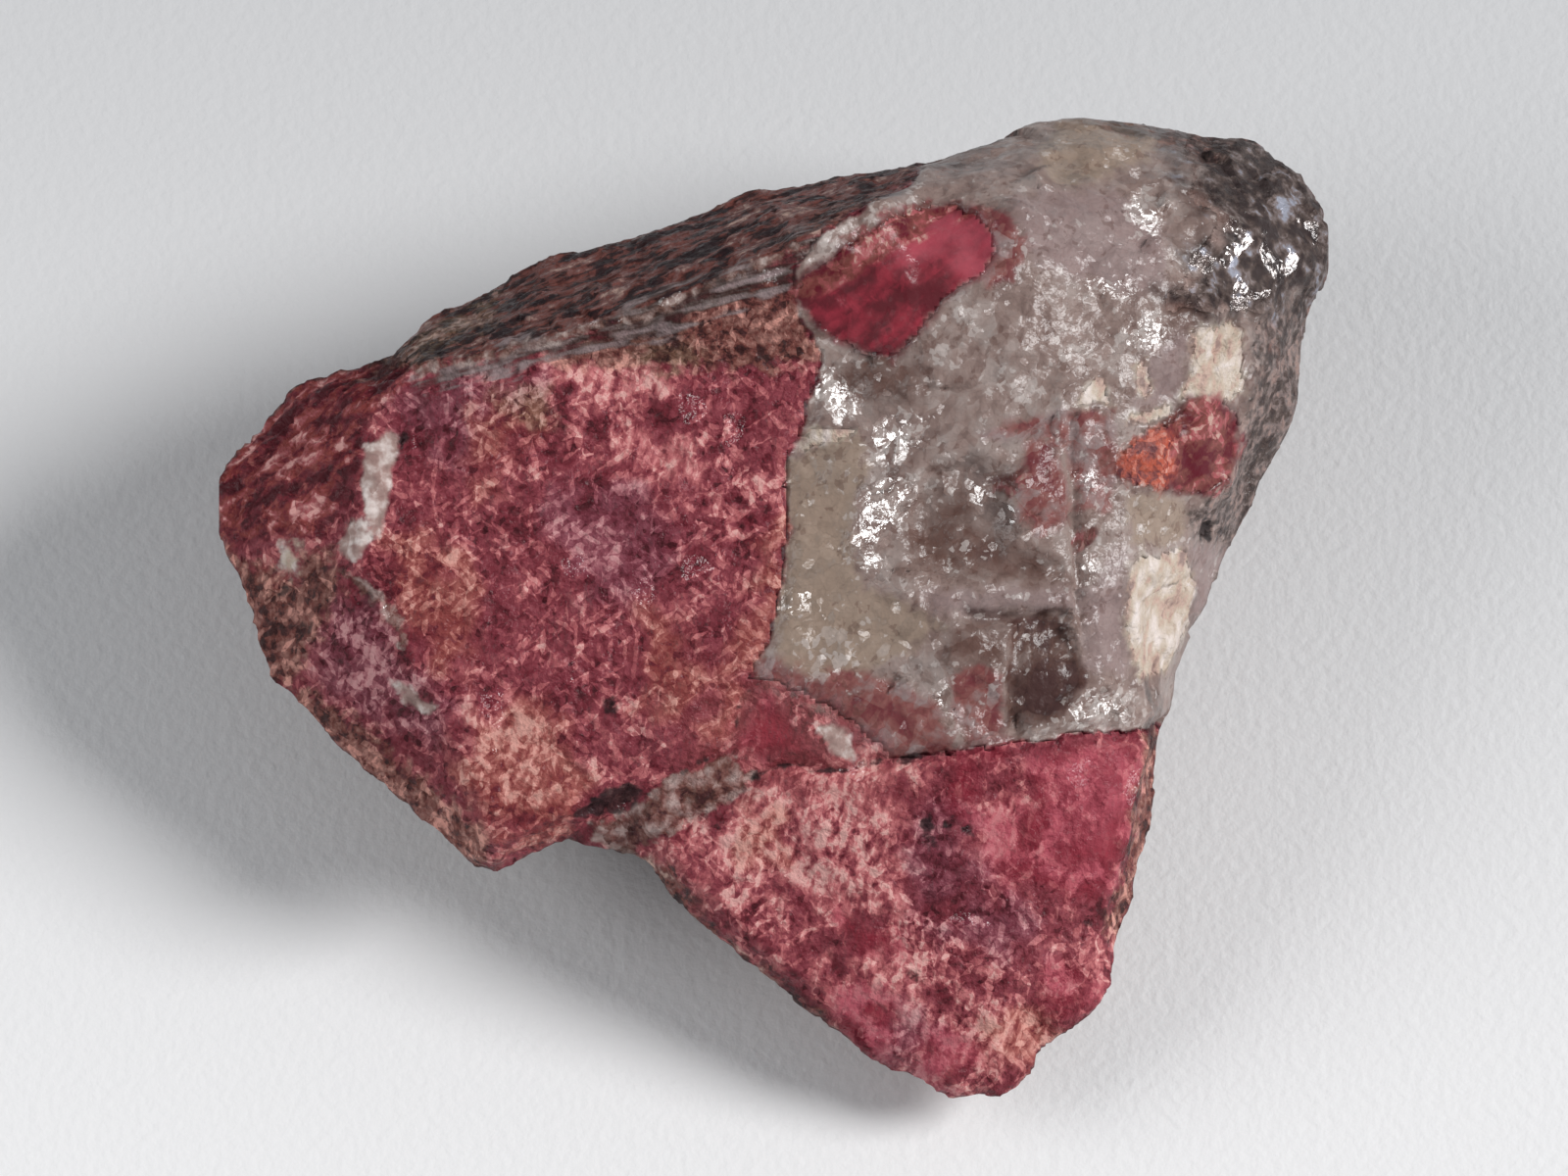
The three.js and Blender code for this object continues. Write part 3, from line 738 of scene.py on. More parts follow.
class Graph:
    """The nodes of one material, with a short call for each kind that the stone needs."""

    def __init__(self, name):
        self.material = bpy.data.materials.new(name)
        self.material.use_nodes = True
        self.tree = self.material.node_tree
        self.tree.nodes.clear()
        self.surface = self.add("ShaderNodeBsdfPrincipled")
        output = self.tree.nodes.new("ShaderNodeOutputMaterial")
        self.tree.links.new(self.surface.outputs[0], output.inputs["Surface"])
        coordinates = self.add("ShaderNodeTexCoord").outputs["Object"]
        self.place = self.vector("SCALE", coordinates, scale=1 / MM)

    def join(self, socket, value):
        if isinstance(value, bpy.types.NodeSocket):
            self.tree.links.new(value, socket)
        elif socket.type == "RGBA":
            socket.default_value = (*value, 1.0)
        else:
            socket.default_value = value

    def add(self, kind, settings=None, **inputs):
        node = self.tree.nodes.new(kind)
        for name, value in (settings or {}).items():
            setattr(node, name, value)
        for name, value in inputs.items():
            self.join(node.inputs[name], value)
        return node

    def vector(self, operation, first, second=None, scale=None):
        node = self.add("ShaderNodeVectorMath", {"operation": operation})
        self.join(node.inputs[0], first)
        if second is not None:
            self.join(node.inputs[1], second)
        if scale is not None:
            self.join(node.inputs["Scale"], scale)
        return node.outputs["Value" if operation == "DOT_PRODUCT" else "Vector"]

    def math(self, operation, first, second=0.0, third=0.0):
        node = self.add("ShaderNodeMath", {"operation": operation})
        for socket, value in zip(node.inputs, (first, second, third)):
            self.join(socket, value)
        return node.outputs[0]

    def mix(self, share, below, above):
        """One colour over another, by that share."""
        node = self.add("ShaderNodeMix", {"data_type": "RGBA"})
        self.join(node.inputs[0], share)
        self.join(node.inputs[6], below)
        self.join(node.inputs[7], above)
        return node.outputs[2]

    def blend(self, share, below, above):
        """One number over another, by that share."""
        node = self.add("ShaderNodeMix", {"data_type": "FLOAT"})
        self.join(node.inputs[0], share)
        self.join(node.inputs[2], below)
        self.join(node.inputs[3], above)
        return node.outputs[0]

    def step(self, value, low, high, bottom=0.0, top=1.0):
        """A soft step of the value, from bottom at low to top at high."""
        settings = {"interpolation_type": "SMOOTHSTEP"}
        node = self.add("ShaderNodeMapRange", settings)
        for name, number in (("Value", value), ("From Min", low), ("From Max", high),
                             ("To Min", bottom), ("To Max", top)):
            self.join(node.inputs[name], number)
        return node.outputs[0]

    def clouds(self, size, detail=3.0, place=None, rough=0.5):
        node = self.add("ShaderNodeTexNoise", Vector=place or self.place, Scale=1 / size,
                        Detail=detail, Roughness=rough)
        return node.outputs["Fac"]

    def wander(self, size, amount, detail=1.0):
        """The place on the stone, shifted to and fro so that what is drawn there is ragged."""
        node = self.add("ShaderNodeTexNoise", Vector=self.place, Scale=1 / size, Detail=detail)
        shift = self.vector("SUBTRACT", node.outputs["Color"], (0.5, 0.5, 0.5))
        return self.vector("ADD", self.place, self.vector("SCALE", shift, scale=amount))

    def cells(self, size, place):
        """Grains of that size: a random colour for each, and the height of its tilted face."""
        node = self.add("ShaderNodeTexVoronoi", Vector=place, Scale=1 / size)
        away = self.vector("SUBTRACT", place, node.outputs["Position"])
        lean = self.vector("SUBTRACT", node.outputs["Color"], (0.5, 0.5, 0.5))
        parts = self.add("ShaderNodeSeparateColor", Color=node.outputs["Color"])
        return parts.outputs, self.vector("DOT_PRODUCT", away, lean)

    def sparkle(self, size, place, share, spread):
        """Heights of flat-faced grains, and which of them face the glint: a share of them."""
        node = self.add("ShaderNodeTexVoronoi", Vector=place, Scale=1 / size)
        away = self.vector("SUBTRACT", self.place, node.outputs["Position"])
        lean = self.vector("SUBTRACT", node.outputs["Color"], (0.5, 0.5, 0.5))
        lean = self.vector("SCALE", lean, scale=spread)
        luck = self.add("ShaderNodeTexWhiteNoise", Vector=node.outputs["Position"])
        turned = self.math("LESS_THAN", luck.outputs["Value"], share)
        glint = self.vector("SCALE", tuple(-GLINT), scale=turned)
        return self.vector("DOT_PRODUCT", away, self.vector("ADD", lean, glint)), turned

    def stretched(self, stretch, turn, place=None):
        """The place on the stone, drawn out along its axes and turned in degrees."""
        node = self.add("ShaderNodeMapping", {"vector_type": "TEXTURE"},
                        Vector=place or self.place)
        node.inputs["Scale"].default_value = stretch
        node.inputs["Rotation"].default_value = [math.radians(angle) for angle in turn]
        return node.outputs[0]

    def shards(self, size, thin, angle, place):
        """Splinters that lie at that angle: three random values for each."""
        place = self.stretched((1, thin, 1), (0, 0, angle), place)
        node = self.add("ShaderNodeTexVoronoi", Vector=place, Scale=1 / size)
        return self.add("ShaderNodeSeparateColor", Color=node.outputs["Color"]).outputs

    def pile(self, *parts):
        """A tone about 0.5, from fields about 0.5 and how much each of them counts."""
        tone = 0.5
        for field, amount in parts:
            tone = self.math("MULTIPLY_ADD", self.math("SUBTRACT", field, 0.5), amount, tone)
        return tone

    def field(self, name):
        return self.add("ShaderNodeAttribute", {"attribute_name": name}).outputs["Fac"]

    def layer(self, name, ragged=None, edge=0.12, reach=0.5):
        """How much of a mineral there is, from its stored distance and a ragged edge."""
        distance = self.field(name)
        if ragged is not None:
            shift = self.math("MULTIPLY_ADD", ragged, reach, -0.5 * reach)
            distance = self.math("ADD", distance, shift)
        return self.step(distance, -edge, edge)

    def veil(self, colour, cover, amount, paint):
        """The colour, with that amount of paint over it where the cover is."""
        return self.mix(self.math("MULTIPLY", cover, amount), colour, paint)

    def paint(self, colour, name, ragged, paint, amount, edge=0.12, reach=0.5):
        """The colour, with paint over it where that layer is."""
        return self.veil(colour, self.layer(name, ragged, edge, reach), amount, paint)

    def ramp(self, value, *stops):
        """The colour at that value, between stops of (value, colour)."""
        node = self.add("ShaderNodeValToRGB", Fac=value)
        elements = node.color_ramp.elements
        while len(elements) < len(stops):
            elements.new(0.5)
        for element, (position, colour) in zip(elements, stops):
            element.position = position
            element.color = (*colour, 1.0)
        return node.outputs["Color"]


def quartz_colour(graph, colours, grains):
    """Grey quartz with milky, smoky and pink parts, and crisp bright and dark chips: painted
    highlights on lit chips and painted shade beside them.
    """
    ragged, speck, shifted = grains["ragged"], grains["speck"], grains["shifted"]
    cloud = graph.field("cloud")
    facet = graph.cells(1.5, shifted)[0]
    chip = graph.shards(0.75, 0.5, 60, shifted)
    tone = graph.pile((cloud, 0.34), (ragged, 0.4), (facet["Red"], 0.16), (chip["Red"], 0.10))
    colour = graph.ramp(tone, (0.36, colours.haze), (0.48, colours.quartz),
                        (0.60, colours.pale_quartz))
    colour = graph.paint(colour, "lilac", ragged, colours.lilac, 0.6, edge=0.4, reach=1.5)
    smoky_mix = graph.ramp(tone, (0.41, colours.smoke), (0.67, colours.haze))
    colour = graph.paint(colour, "smoky", cloud, smoky_mix, 0.8, edge=0.7, reach=2.5)
    blush_mix = graph.ramp(tone, (0.38, colours.garnet), (0.48, colours.blush),
                           (0.62, colours.lilac))
    colour = graph.paint(colour, "blush", ragged, blush_mix, 0.8, edge=0.25, reach=1.2)
    colour = graph.paint(colour, "khaki", ragged, colours.khaki, 0.85, edge=0.3, reach=1.2)
    window_mix = graph.ramp(tone, (0.40, colours.deep), (0.50, colours.smoke),
                            (0.62, colours.haze))
    colour = graph.paint(colour, "window", ragged, window_mix, 0.85, edge=0.15, reach=0.7)
    # Painted shade: the deep colour laid in the slit and the hollow, and on the dark foot of the
    # smoky crystal.
    deep = graph.layer("deep", ragged, edge=0.4, reach=2.2)
    colour = graph.veil(colour, deep, 0.55, colours.deep)
    milk = graph.layer("milk", ragged, edge=0.3, reach=1.6)
    spread = graph.math("MULTIPLY_ADD", milk, 0.40, graph.math("MULTIPLY_ADD", cloud, 0.6, -0.38))
    # Painted highlight: lit chips in milky white, partly milky grains.
    lit = graph.step(graph.math("ADD", spread, chip["Green"]), 0.97, 1.0)
    colour = graph.veil(colour, lit, 0.34, colours.milk)
    flecks = graph.math("ADD", graph.math("MULTIPLY_ADD", ragged, 1.0, spread), speck["Green"])
    flecks = graph.step(flecks, 1.42, 1.45)
    colour = graph.veil(colour, flecks, 0.55, colours.milk)
    # Painted shade: small dark chips beside the lit ones.
    shade = graph.pile((cloud, 1.0), (ragged, -1.0), (speck["Blue"], 0.5), (chip["Blue"], 0.5))
    shade = graph.step(shade, 0.84, 0.88)
    return graph.veil(colour, shade, 0.4, colours.smoke)


def rhodonite_colour(graph, colours, grains):
    """Rose-red grains with pale splinters and dark gaps, calm in places, sugary in others; the
    tone rises with the sugary bump, partly a painted highlight on crests and painted shade in
    hollows.
    """
    patches, ragged, sugar = grains["patches"], grains["ragged"], grains["sugar"]
    speck, shifted = grains["speck"], grains["shifted"]
    dense = graph.layer("dense", patches, edge=0.9, reach=5.0)
    pink = graph.layer("pink", patches, edge=1.0, reach=4.0)
    loud = graph.math("MULTIPLY_ADD", pink, -0.12, graph.blend(dense, 0.24, 0.42))
    # The sugar field is also the bump height, so grains are paler on their crests and darker in
    # their hollows: partly painted highlight and painted shade.
    tone = graph.pile((graph.field("large"), 0.25), (patches, 0.18), (speck["Red"], 0.08),
                      (sugar, loud), (grains["grain"]["Red"], 0.08))
    strokes = graph.clouds(0.5, detail=2.0, place=graph.stretched((0.7, 3.0, 1), (0, 0, -18)))
    strokes = graph.math("MULTIPLY", graph.math("SUBTRACT", strokes, 0.44), pink)
    tone = graph.math("MULTIPLY_ADD", strokes, 1.0, tone)
    rare = graph.blend(dense, 0.89, 0.79)
    rare = graph.math("MULTIPLY_ADD", graph.math("SUBTRACT", patches, 0.5), -0.6, rare)
    for angle in (28, -38, 84):
        shard = graph.shards(0.68, 0.3, angle, shifted)
        pale = graph.math("GREATER_THAN", shard["Red"], rare)
        tone = graph.math("MULTIPLY_ADD", pale, 0.12, tone)
        tone = graph.math("MULTIPLY_ADD", graph.math("SUBTRACT", shard["Green"], 0.5), 0.06, tone)
    tone = graph.math("MULTIPLY_ADD", graph.step(speck["Green"], 0.14, 0.10), -0.08, tone)
    lively = graph.math("MULTIPLY_ADD", pink, -0.2, graph.blend(dense, 0.88, 1.0))
    middle = graph.math("MULTIPLY_ADD", pink, 0.075, 0.5)
    tone = graph.math("MULTIPLY_ADD", graph.math("SUBTRACT", tone, 0.525), lively, middle)

    colour = graph.ramp(tone, (0.34, colours.dark_maroon), (0.42, colours.maroon),
                        (0.50, colours.rose), (0.58, colours.salmon), (0.67, colours.blossom),
                        (0.78, colours.fleck))
    purple_mix = graph.ramp(tone, (0.34, colours.dark_maroon), (0.43, colours.purple),
                            (0.54, colours.mauve), (0.70, colours.lilac_fleck))
    colour = graph.paint(colour, "purple", patches, purple_mix, 0.65, edge=0.8, reach=5.0)
    tan_mix = graph.ramp(tone, (0.36, colours.maroon), (0.45, colours.rust),
                         (0.57, colours.tan), (0.73, colours.tan_fleck))
    colour = graph.paint(colour, "tan", patches, tan_mix, 0.7, edge=0.8, reach=5.0)
    streak = graph.clouds(0.8, detail=2.0, place=graph.stretched((4.5, 0.9, 1.0), (0, 0, 22)))
    streak = graph.pile((streak, 0.9), (tone, 0.6))
    streaks = graph.ramp(streak, (0.40, colours.dark_maroon), (0.48, colours.maroon),
                         (0.56, colours.rust), (0.64, colours.salmon), (0.74, colours.fleck))
    return graph.paint(colour, "streaked", ragged, streaks, 0.9, edge=0.3, reach=1.0), tone


def weathered_colours(graph, colours, colour, tone, grains):
    """The brown bands, the rough back and the grey ribs along the ridge, over the rhodonite."""
    ragged = grains["ragged"]
    brown_mix = graph.ramp(graph.pile((tone, 0.9), (ragged, 0.6)), (0.40, colours.dark_brown),
                           (0.48, colours.red_brown), (0.57, colours.brown),
                           (0.70, colours.tan_fleck))
    colour = graph.paint(colour, "brown", ragged, brown_mix, 0.9, edge=0.4, reach=2.0)
    rib = graph.clouds(0.6, detail=2.0, place=graph.stretched((2.8, 0.8, 1.0), (0, 0, 22)))
    rib = graph.pile((rib, 0.7), (tone, 0.45), (grains["patches"], 0.45))
    back_mix = graph.ramp(rib, (0.38, colours.black), (0.45, colours.dark_brown),
                          (0.53, colours.red_brown), (0.61, colours.back_brown),
                          (0.76, colours.buff))
    # Over the back this is the weathered back; on the edge under the lower block the same paint
    # is painted shade.
    colour = graph.paint(colour, "dark", ragged, back_mix, 0.95, edge=0.3, reach=1.0)
    olive_mix = graph.ramp(tone, (0.38, colours.dark_brown), (0.52, colours.olive),
                           (0.66, colours.buff))
    colour = graph.paint(colour, "olive", ragged, olive_mix, 0.5, edge=0.5, reach=2.4)
    line = graph.clouds(0.7, detail=2.0, place=graph.stretched((6.0, 0.6, 0.8), (0, 0, 15)))
    line = graph.pile((line, 1.0), (tone, 0.2))
    ridge_mix = graph.ramp(line, (0.40, colours.dark_brown), (0.46, colours.mica),
                           (0.54, colours.slate), (0.65, colours.rib_grey))
    return graph.paint(colour, "ridge", line, ridge_mix, 0.9, edge=0.3, reach=3.0)


def pale_colours(graph, colours, colour, tone, grains):
    """The veins, chips, skin, cream lumps and dark corner, over the rest."""
    patches, ragged, speck, grain = (grains[k] for k in ("patches", "ragged", "speck", "grain"))
    chips = graph.ramp(graph.pile((ragged, 0.7), (grain["Blue"], 0.1)), (0.38, colours.haze),
                       (0.48, colours.quartz), (0.62, colours.milk))
    colour = graph.paint(colour, "chips", ragged, chips, 0.9, edge=0.12, reach=0.5)
    vein_mix = graph.ramp(graph.pile((ragged, 0.7), (tone, 0.3), (grain["Blue"], 0.1)),
                          (0.38, colours.dark_brown), (0.47, colours.smoke),
                          (0.56, colours.haze), (0.68, colours.pale_quartz))
    # Pale vein colours; along the sparkle line on the left facet they are a painted highlight.
    colour = graph.paint(colour, "vein", ragged, vein_mix, 0.8, edge=0.15, reach=1.2)
    skin_tone = graph.pile((grains["sugar"], 0.7), (speck["Green"], 0.15), (patches, 0.5))
    skin_mix = graph.ramp(skin_tone, (0.36, colours.black), (0.46, colours.mica),
                          (0.54, colours.slate), (0.66, colours.haze))
    colour = graph.paint(colour, "skin", ragged, skin_mix, 0.9, edge=0.5, reach=2.5)
    fibre = graph.clouds(0.9, detail=3.0, place=graph.stretched((0.7, 1.6, 1), (0, 0, -8)))
    cream_mix = graph.ramp(graph.pile((fibre, 0.9), (grain["Blue"], 0.12)),
                           (0.34, colours.haze), (0.41, colours.buff), (0.49, colours.cream),
                           (0.68, colours.milk))
    colour = graph.paint(colour, "cream", ragged, cream_mix, 0.92, edge=0.2, reach=1.0)
    mica = graph.layer("mica", patches, edge=0.9, reach=5.0)
    flake_tone = graph.pile((patches, 0.7), (grains["sugar"], 0.5), (ragged, 0.6),
                            (grain["Green"], 0.12))
    mica_mix = graph.ramp(flake_tone, (0.42, colours.black), (0.52, colours.mica),
                          (0.60, colours.slate), (0.72, colours.silver))
    return graph.veil(colour, mica, 0.92, mica_mix)


def crystal_colours(graph, colours, colour, tone, grains):
    """The clean red crystals, the orange one and their rusty edges, over the rest."""
    patches, ragged = grains["patches"], grains["ragged"]
    clean_mix = graph.ramp(graph.blend(0.35, patches, tone), (0.38, colours.crimson),
                           (0.50, colours.garnet), (0.60, colours.bright_rose))
    # Painted highlight: bright rose where the clean crystals are lit.
    clean_mix = graph.paint(clean_mix, "bright", patches, colours.bright_rose, 0.5, edge=0.8,
                            reach=2.0)
    colour = graph.paint(colour, "clean", patches, clean_mix, 0.7, edge=0.6, reach=2.5)
    grain = graph.clouds(0.9, detail=2.0, place=graph.stretched((3.0, 0.8, 1), (0, 0, 38)))
    deep = graph.ramp(graph.pile((grain, 0.6), (tone, 0.35), (graph.field("bright"), 0.012)),
                      (0.40, colours.wine), (0.50, colours.garnet), (0.62, colours.crimson))
    # Painted highlight: bright rose on the lit right end of the lens.
    deep = graph.paint(deep, "bright", patches, colours.bright_rose, 0.55, edge=0.7, reach=3.0)
    colour = graph.paint(colour, "crystal", ragged, deep, 0.95, edge=0.3, reach=0.9)
    ember_mix = graph.ramp(tone, (0.36, colours.wine), (0.43, colours.rust),
                           (0.52, colours.ember), (0.68, colours.tan_fleck))
    colour = graph.paint(colour, "ember", ragged, ember_mix, 0.9, edge=0.2, reach=1.4)
    rust_mix = graph.ramp(graph.blend(0.4, tone, grain), (0.42, colours.wine),
                          (0.50, colours.red_brown), (0.57, colours.salmon),
                          (0.66, colours.buff))
    return graph.paint(colour, "rusty", grain, rust_mix, 0.85, edge=0.2, reach=2.0)


def surface_grains(graph):
    """The fields that every colour of the stone is drawn with."""
    shifted = graph.wander(0.4, 0.22, detail=1.0)
    grain, grain_height = graph.cells(0.85, shifted)
    return {
        "patches": graph.field("patches"),
        "ragged": graph.clouds(0.6, detail=3.0),
        "sugar": graph.clouds(0.42, detail=3.0, rough=0.55),
        "shifted": shifted,
        "grain": grain,
        "grain height": grain_height,
        "speck": graph.cells(0.26, shifted)[0],
    }


def stone_colour(graph, colours, grains):
    ragged = grains["ragged"]
    colour, tone = rhodonite_colour(graph, colours, grains)
    colour = weathered_colours(graph, colours, colour, tone, grains)
    quartz = graph.layer("quartz", ragged, edge=0.1, reach=0.5)
    rosy = graph.layer("rosy", ragged, edge=0.8, reach=2.6)
    quartz = graph.math("MULTIPLY", quartz, graph.math("MULTIPLY_ADD", rosy, -0.95, 1.0))
    colour = graph.veil(colour, rosy, 0.2, colours.blush)
    colour = graph.mix(quartz, colour, quartz_colour(graph, colours, grains))
    colour = pale_colours(graph, colours, colour, tone, grains)
    colour = crystal_colours(graph, colours, colour, tone, grains)
    # Painted shade along the rim and on faces turned away from the line of sight, weaker over the
    # rosy patch.
    turned_away_shade_mix = graph.ramp(graph.blend(0.5, ragged, tone), (0.38, colours.black),
                          (0.50, colours.dark_brown), (0.62, colours.brown))
    colour = graph.paint(colour, "turned_away_shade", ragged, turned_away_shade_mix,
                         graph.math("MULTIPLY_ADD", rosy, -0.6, 0.7), edge=0.3, reach=1.2)
    # Black paint over the spots, and painted shade in the crevice, the holes and the cracks,
    # which are also dug as dents.
    black = graph.layer("black", ragged, edge=0.12, reach=1.1)
    return graph.veil(colour, black, 0.85, colours.black)


def stone_material(colours):
    graph = Graph("rhodonite with quartz")
    grains = surface_grains(graph)
    glitter = graph.layer("glitter", edge=0.3)
    crystal = graph.layer("crystal", edge=0.2)
    mica = graph.layer("mica", edge=1.0)
    share = graph.blend(glitter, 0.02, graph.blend(mica, 0.6, 0.32))
    flakes, turned = graph.sparkle(1.1, grains["shifted"], share, 0.3)
    shine = graph.step(grains["speck"]["Blue"], 0.0, 1.0, 0.35, 0.7)
    shine = graph.blend(crystal, shine, 0.3)
    shine = graph.blend(turned, shine, 0.16)

    grit = graph.math("MULTIPLY_ADD", grains["sugar"], 0.3,
                      graph.math("MULTIPLY", grains["grain height"], 0.2))
    height = graph.math("MULTIPLY_ADD", grit, graph.math("MULTIPLY_ADD", glitter, -0.8, 1.0),
                        flakes)
    smooth = graph.math("MAXIMUM", crystal, graph.layer("chips", edge=0.2))
    bump = graph.add("ShaderNodeBump", Height=height, Distance=MM,
                     Strength=graph.math("MULTIPLY_ADD", smooth, -0.6, 0.8))
    surface = graph.surface
    graph.join(surface.inputs["Base Color"], stone_colour(graph, colours, grains))
    graph.join(surface.inputs["Roughness"], shine)
    graph.join(surface.inputs["Metallic"], graph.math("MULTIPLY", mica, 0.2))
    graph.join(surface.inputs["Normal"], bump.outputs[0])
    surface.inputs["IOR"].default_value = 1.6
    bright = graph.math("MULTIPLY_ADD", graph.math("MAXIMUM", glitter, mica), 0.5, 0.2)
    graph.join(surface.inputs["Specular IOR Level"], graph.blend(turned, 0.15, bright))
    return graph.material


def quartz_material(colours):
    graph = Graph("clear quartz")
    grains = surface_grains(graph)
    shifted = grains["shifted"]
    glitter = graph.layer("glitter", edge=0.4)
    flakes = graph.sparkle(0.8, shifted, graph.blend(glitter, 0.015, 0.85), 0.3)[0]
    specks = graph.sparkle(0.35, shifted, graph.blend(glitter, 0.035, 0.1), 0.25)[0]
    height = graph.math("ADD", flakes, graph.math("MULTIPLY_ADD", grains["ragged"], 0.12, specks))
    bump = graph.add("ShaderNodeBump", Height=height, Distance=MM, Strength=1.0)
    surface = graph.surface
    graph.join(surface.inputs["Base Color"], stone_colour(graph, colours, grains))
    graph.join(surface.inputs["Normal"], bump.outputs[0])
    graph.join(surface.inputs["Roughness"], graph.blend(glitter, 0.3, 0.17))
    graph.join(surface.inputs["Specular IOR Level"], graph.blend(glitter, 0.18, 0.75))
    surface.inputs["Transmission Weight"].default_value = 0.35
    surface.inputs["IOR"].default_value = 1.54
    return graph.material


def paper_material(colours):
    graph = Graph("pale paper")
    tooth = graph.clouds(0.5, detail=4.0)
    bump = graph.add("ShaderNodeBump", Height=tooth, Distance=0.06 * MM, Strength=1.0)
    # Painted fall-off of the light: the sheet is painted lighter in front of the stone and darker
    # behind it.
    height = graph.add("ShaderNodeSeparateXYZ", Vector=graph.place).outputs["Y"]
    shade = graph.step(height, -45, 40)
    graph.join(graph.surface.inputs["Base Color"],
               graph.mix(shade, colours.paper, colours.shaded_far_paper))
    graph.join(graph.surface.inputs["Normal"], bump.outputs[0])
    graph.surface.inputs["Roughness"].default_value = 0.9
    graph.surface.inputs["Specular IOR Level"].default_value = 0.2
    return graph.material


# ---------------------------------------------------------------- settings


def length_setting(name, description, default):
    return bpy.props.FloatProperty(name=name, description=description, default=default,
                                   subtype="DISTANCE", unit="LENGTH", precision=5)


def colour_setting(name, description, red, green, blue):
    return bpy.props.FloatVectorProperty(name=name, description=description, size=3, min=0,
                                         max=1, default=from_screen(red, green, blue),
                                         subtype="COLOR")


class RHODONITE_PG_sizes(bpy.types.PropertyGroup):
    """Sizes of the stone's surface."""

    face_size: length_setting("Face size", "Width of the small faces of the mesh", 0.24 * MM)
    grain_size: length_setting("Grain size", "Width of a rhodonite grain", 1.0 * MM)
    chip_size: length_setting("Chip size", "Width of a chip in the quartz", 3.0 * MM)
    quartz_depth: length_setting("Quartz depth", "How far one sees into the quartz", 2.4 * MM)
    edge_softness: bpy.props.IntProperty(
        name="Edge softness", description="Rounds of smoothing before the relief", default=3)
    relief: bpy.props.FloatProperty(
        name="Relief", description="Height of the grains and chips, 1 as found", default=1.0)


class RHODONITE_PG_colours(bpy.types.PropertyGroup):
    """Colours of the minerals."""

    rose: colour_setting("Rose", "Rhodonite grains", 135, 60, 70)
    crimson: colour_setting("Crimson", "Deeper rhodonite grains", 151, 44, 60)
    maroon: colour_setting("Maroon", "Dark rhodonite grains", 112, 40, 50)
    dark_maroon: colour_setting("Dark maroon", "Gaps between grains", 72, 20, 28)
    salmon: colour_setting("Salmon", "Pale rhodonite grains", 166, 87, 91)
    blossom: colour_setting("Blossom", "Pale pink grains", 200, 121, 122)
    fleck: colour_setting("Fleck", "Palest flecks", 224, 168, 162)
    purple: colour_setting("Purple", "Purplish patches", 111, 50, 63)
    tan: colour_setting("Tan", "Orange and tan patches", 164, 97, 86)
    tan_fleck: colour_setting("Tan fleck", "Pale grains in the tan", 212, 152, 138)
    lilac_fleck: colour_setting("Lilac fleck", "Pale grains in the purple", 190, 136, 142)
    mauve: colour_setting("Mauve", "Purplish rose grains", 135, 76, 89)
    back_brown: colour_setting("Back brown", "Grains of the rough back", 116, 82, 78)
    olive: colour_setting("Olive", "Olive-brown patches", 124, 104, 80)
    rust: colour_setting("Rust", "Rusty streaks", 136, 63, 57)
    red_brown: colour_setting("Red brown", "Reddish weathered grains", 117, 68, 60)
    brown: colour_setting("Brown", "Weathered bands", 145, 104, 94)
    dark_brown: colour_setting("Dark brown", "Weathered back", 56, 34, 32)
    buff: colour_setting("Buff", "Pale grains in the brown", 196, 166, 152)
    garnet: colour_setting("Garnet", "Clean rhodonite", 129, 34, 50)
    wine: colour_setting("Wine", "Deepest part of a clean crystal", 92, 20, 34)
    bright_rose: colour_setting("Bright rose", "Lit part of a clean crystal", 181, 80, 95)
    quartz: colour_setting("Quartz", "Grey quartz", 172, 148, 140)
    pale_quartz: colour_setting("Pale quartz", "Brighter grey quartz", 190, 172, 165)
    haze: colour_setting("Haze", "Darker grey quartz", 148, 124, 117)
    milk: colour_setting("Milk", "Milky quartz", 232, 220, 214)
    cream: colour_setting("Cream", "Cream quartz", 196, 180, 162)
    smoke: colour_setting("Smoke", "Smoky quartz", 112, 78, 68)
    # Deep is the dark foot of the smoky crystal, and also the painted shade in the slit and the
    # hollow.
    deep: colour_setting("Deep", "Darkest smoky quartz", 86, 56, 54)
    lilac: colour_setting("Lilac", "Lilac quartz", 178, 153, 152)
    khaki: colour_setting("Khaki", "Smooth yellowish quartz", 183, 160, 142)
    blush: colour_setting("Blush", "Pink under the quartz", 160, 88, 84)
    mica: colour_setting("Mica", "Dark glittering corner", 72, 60, 56)
    slate: colour_setting("Slate", "Grey flakes of the corner", 112, 100, 98)
    silver: colour_setting("Silver", "Palest flakes of the corner", 150, 154, 168)
    rib_grey: colour_setting("Rib grey", "Pale ribs along the ridge", 142, 126, 126)
    ember: colour_setting("Ember", "Orange crystal", 184, 80, 56)
    black: colour_setting("Black", "Spots and cracks", 36, 28, 30)
    # The two paper colours are one sheet, painted lighter in front and darker behind as a painted
    # fall-off of the light.
    paper: colour_setting("Paper", "Sheet in front of the stone", 246, 245, 245)
    shaded_far_paper: colour_setting("Far paper", "Sheet behind the stone", 210, 210, 211)


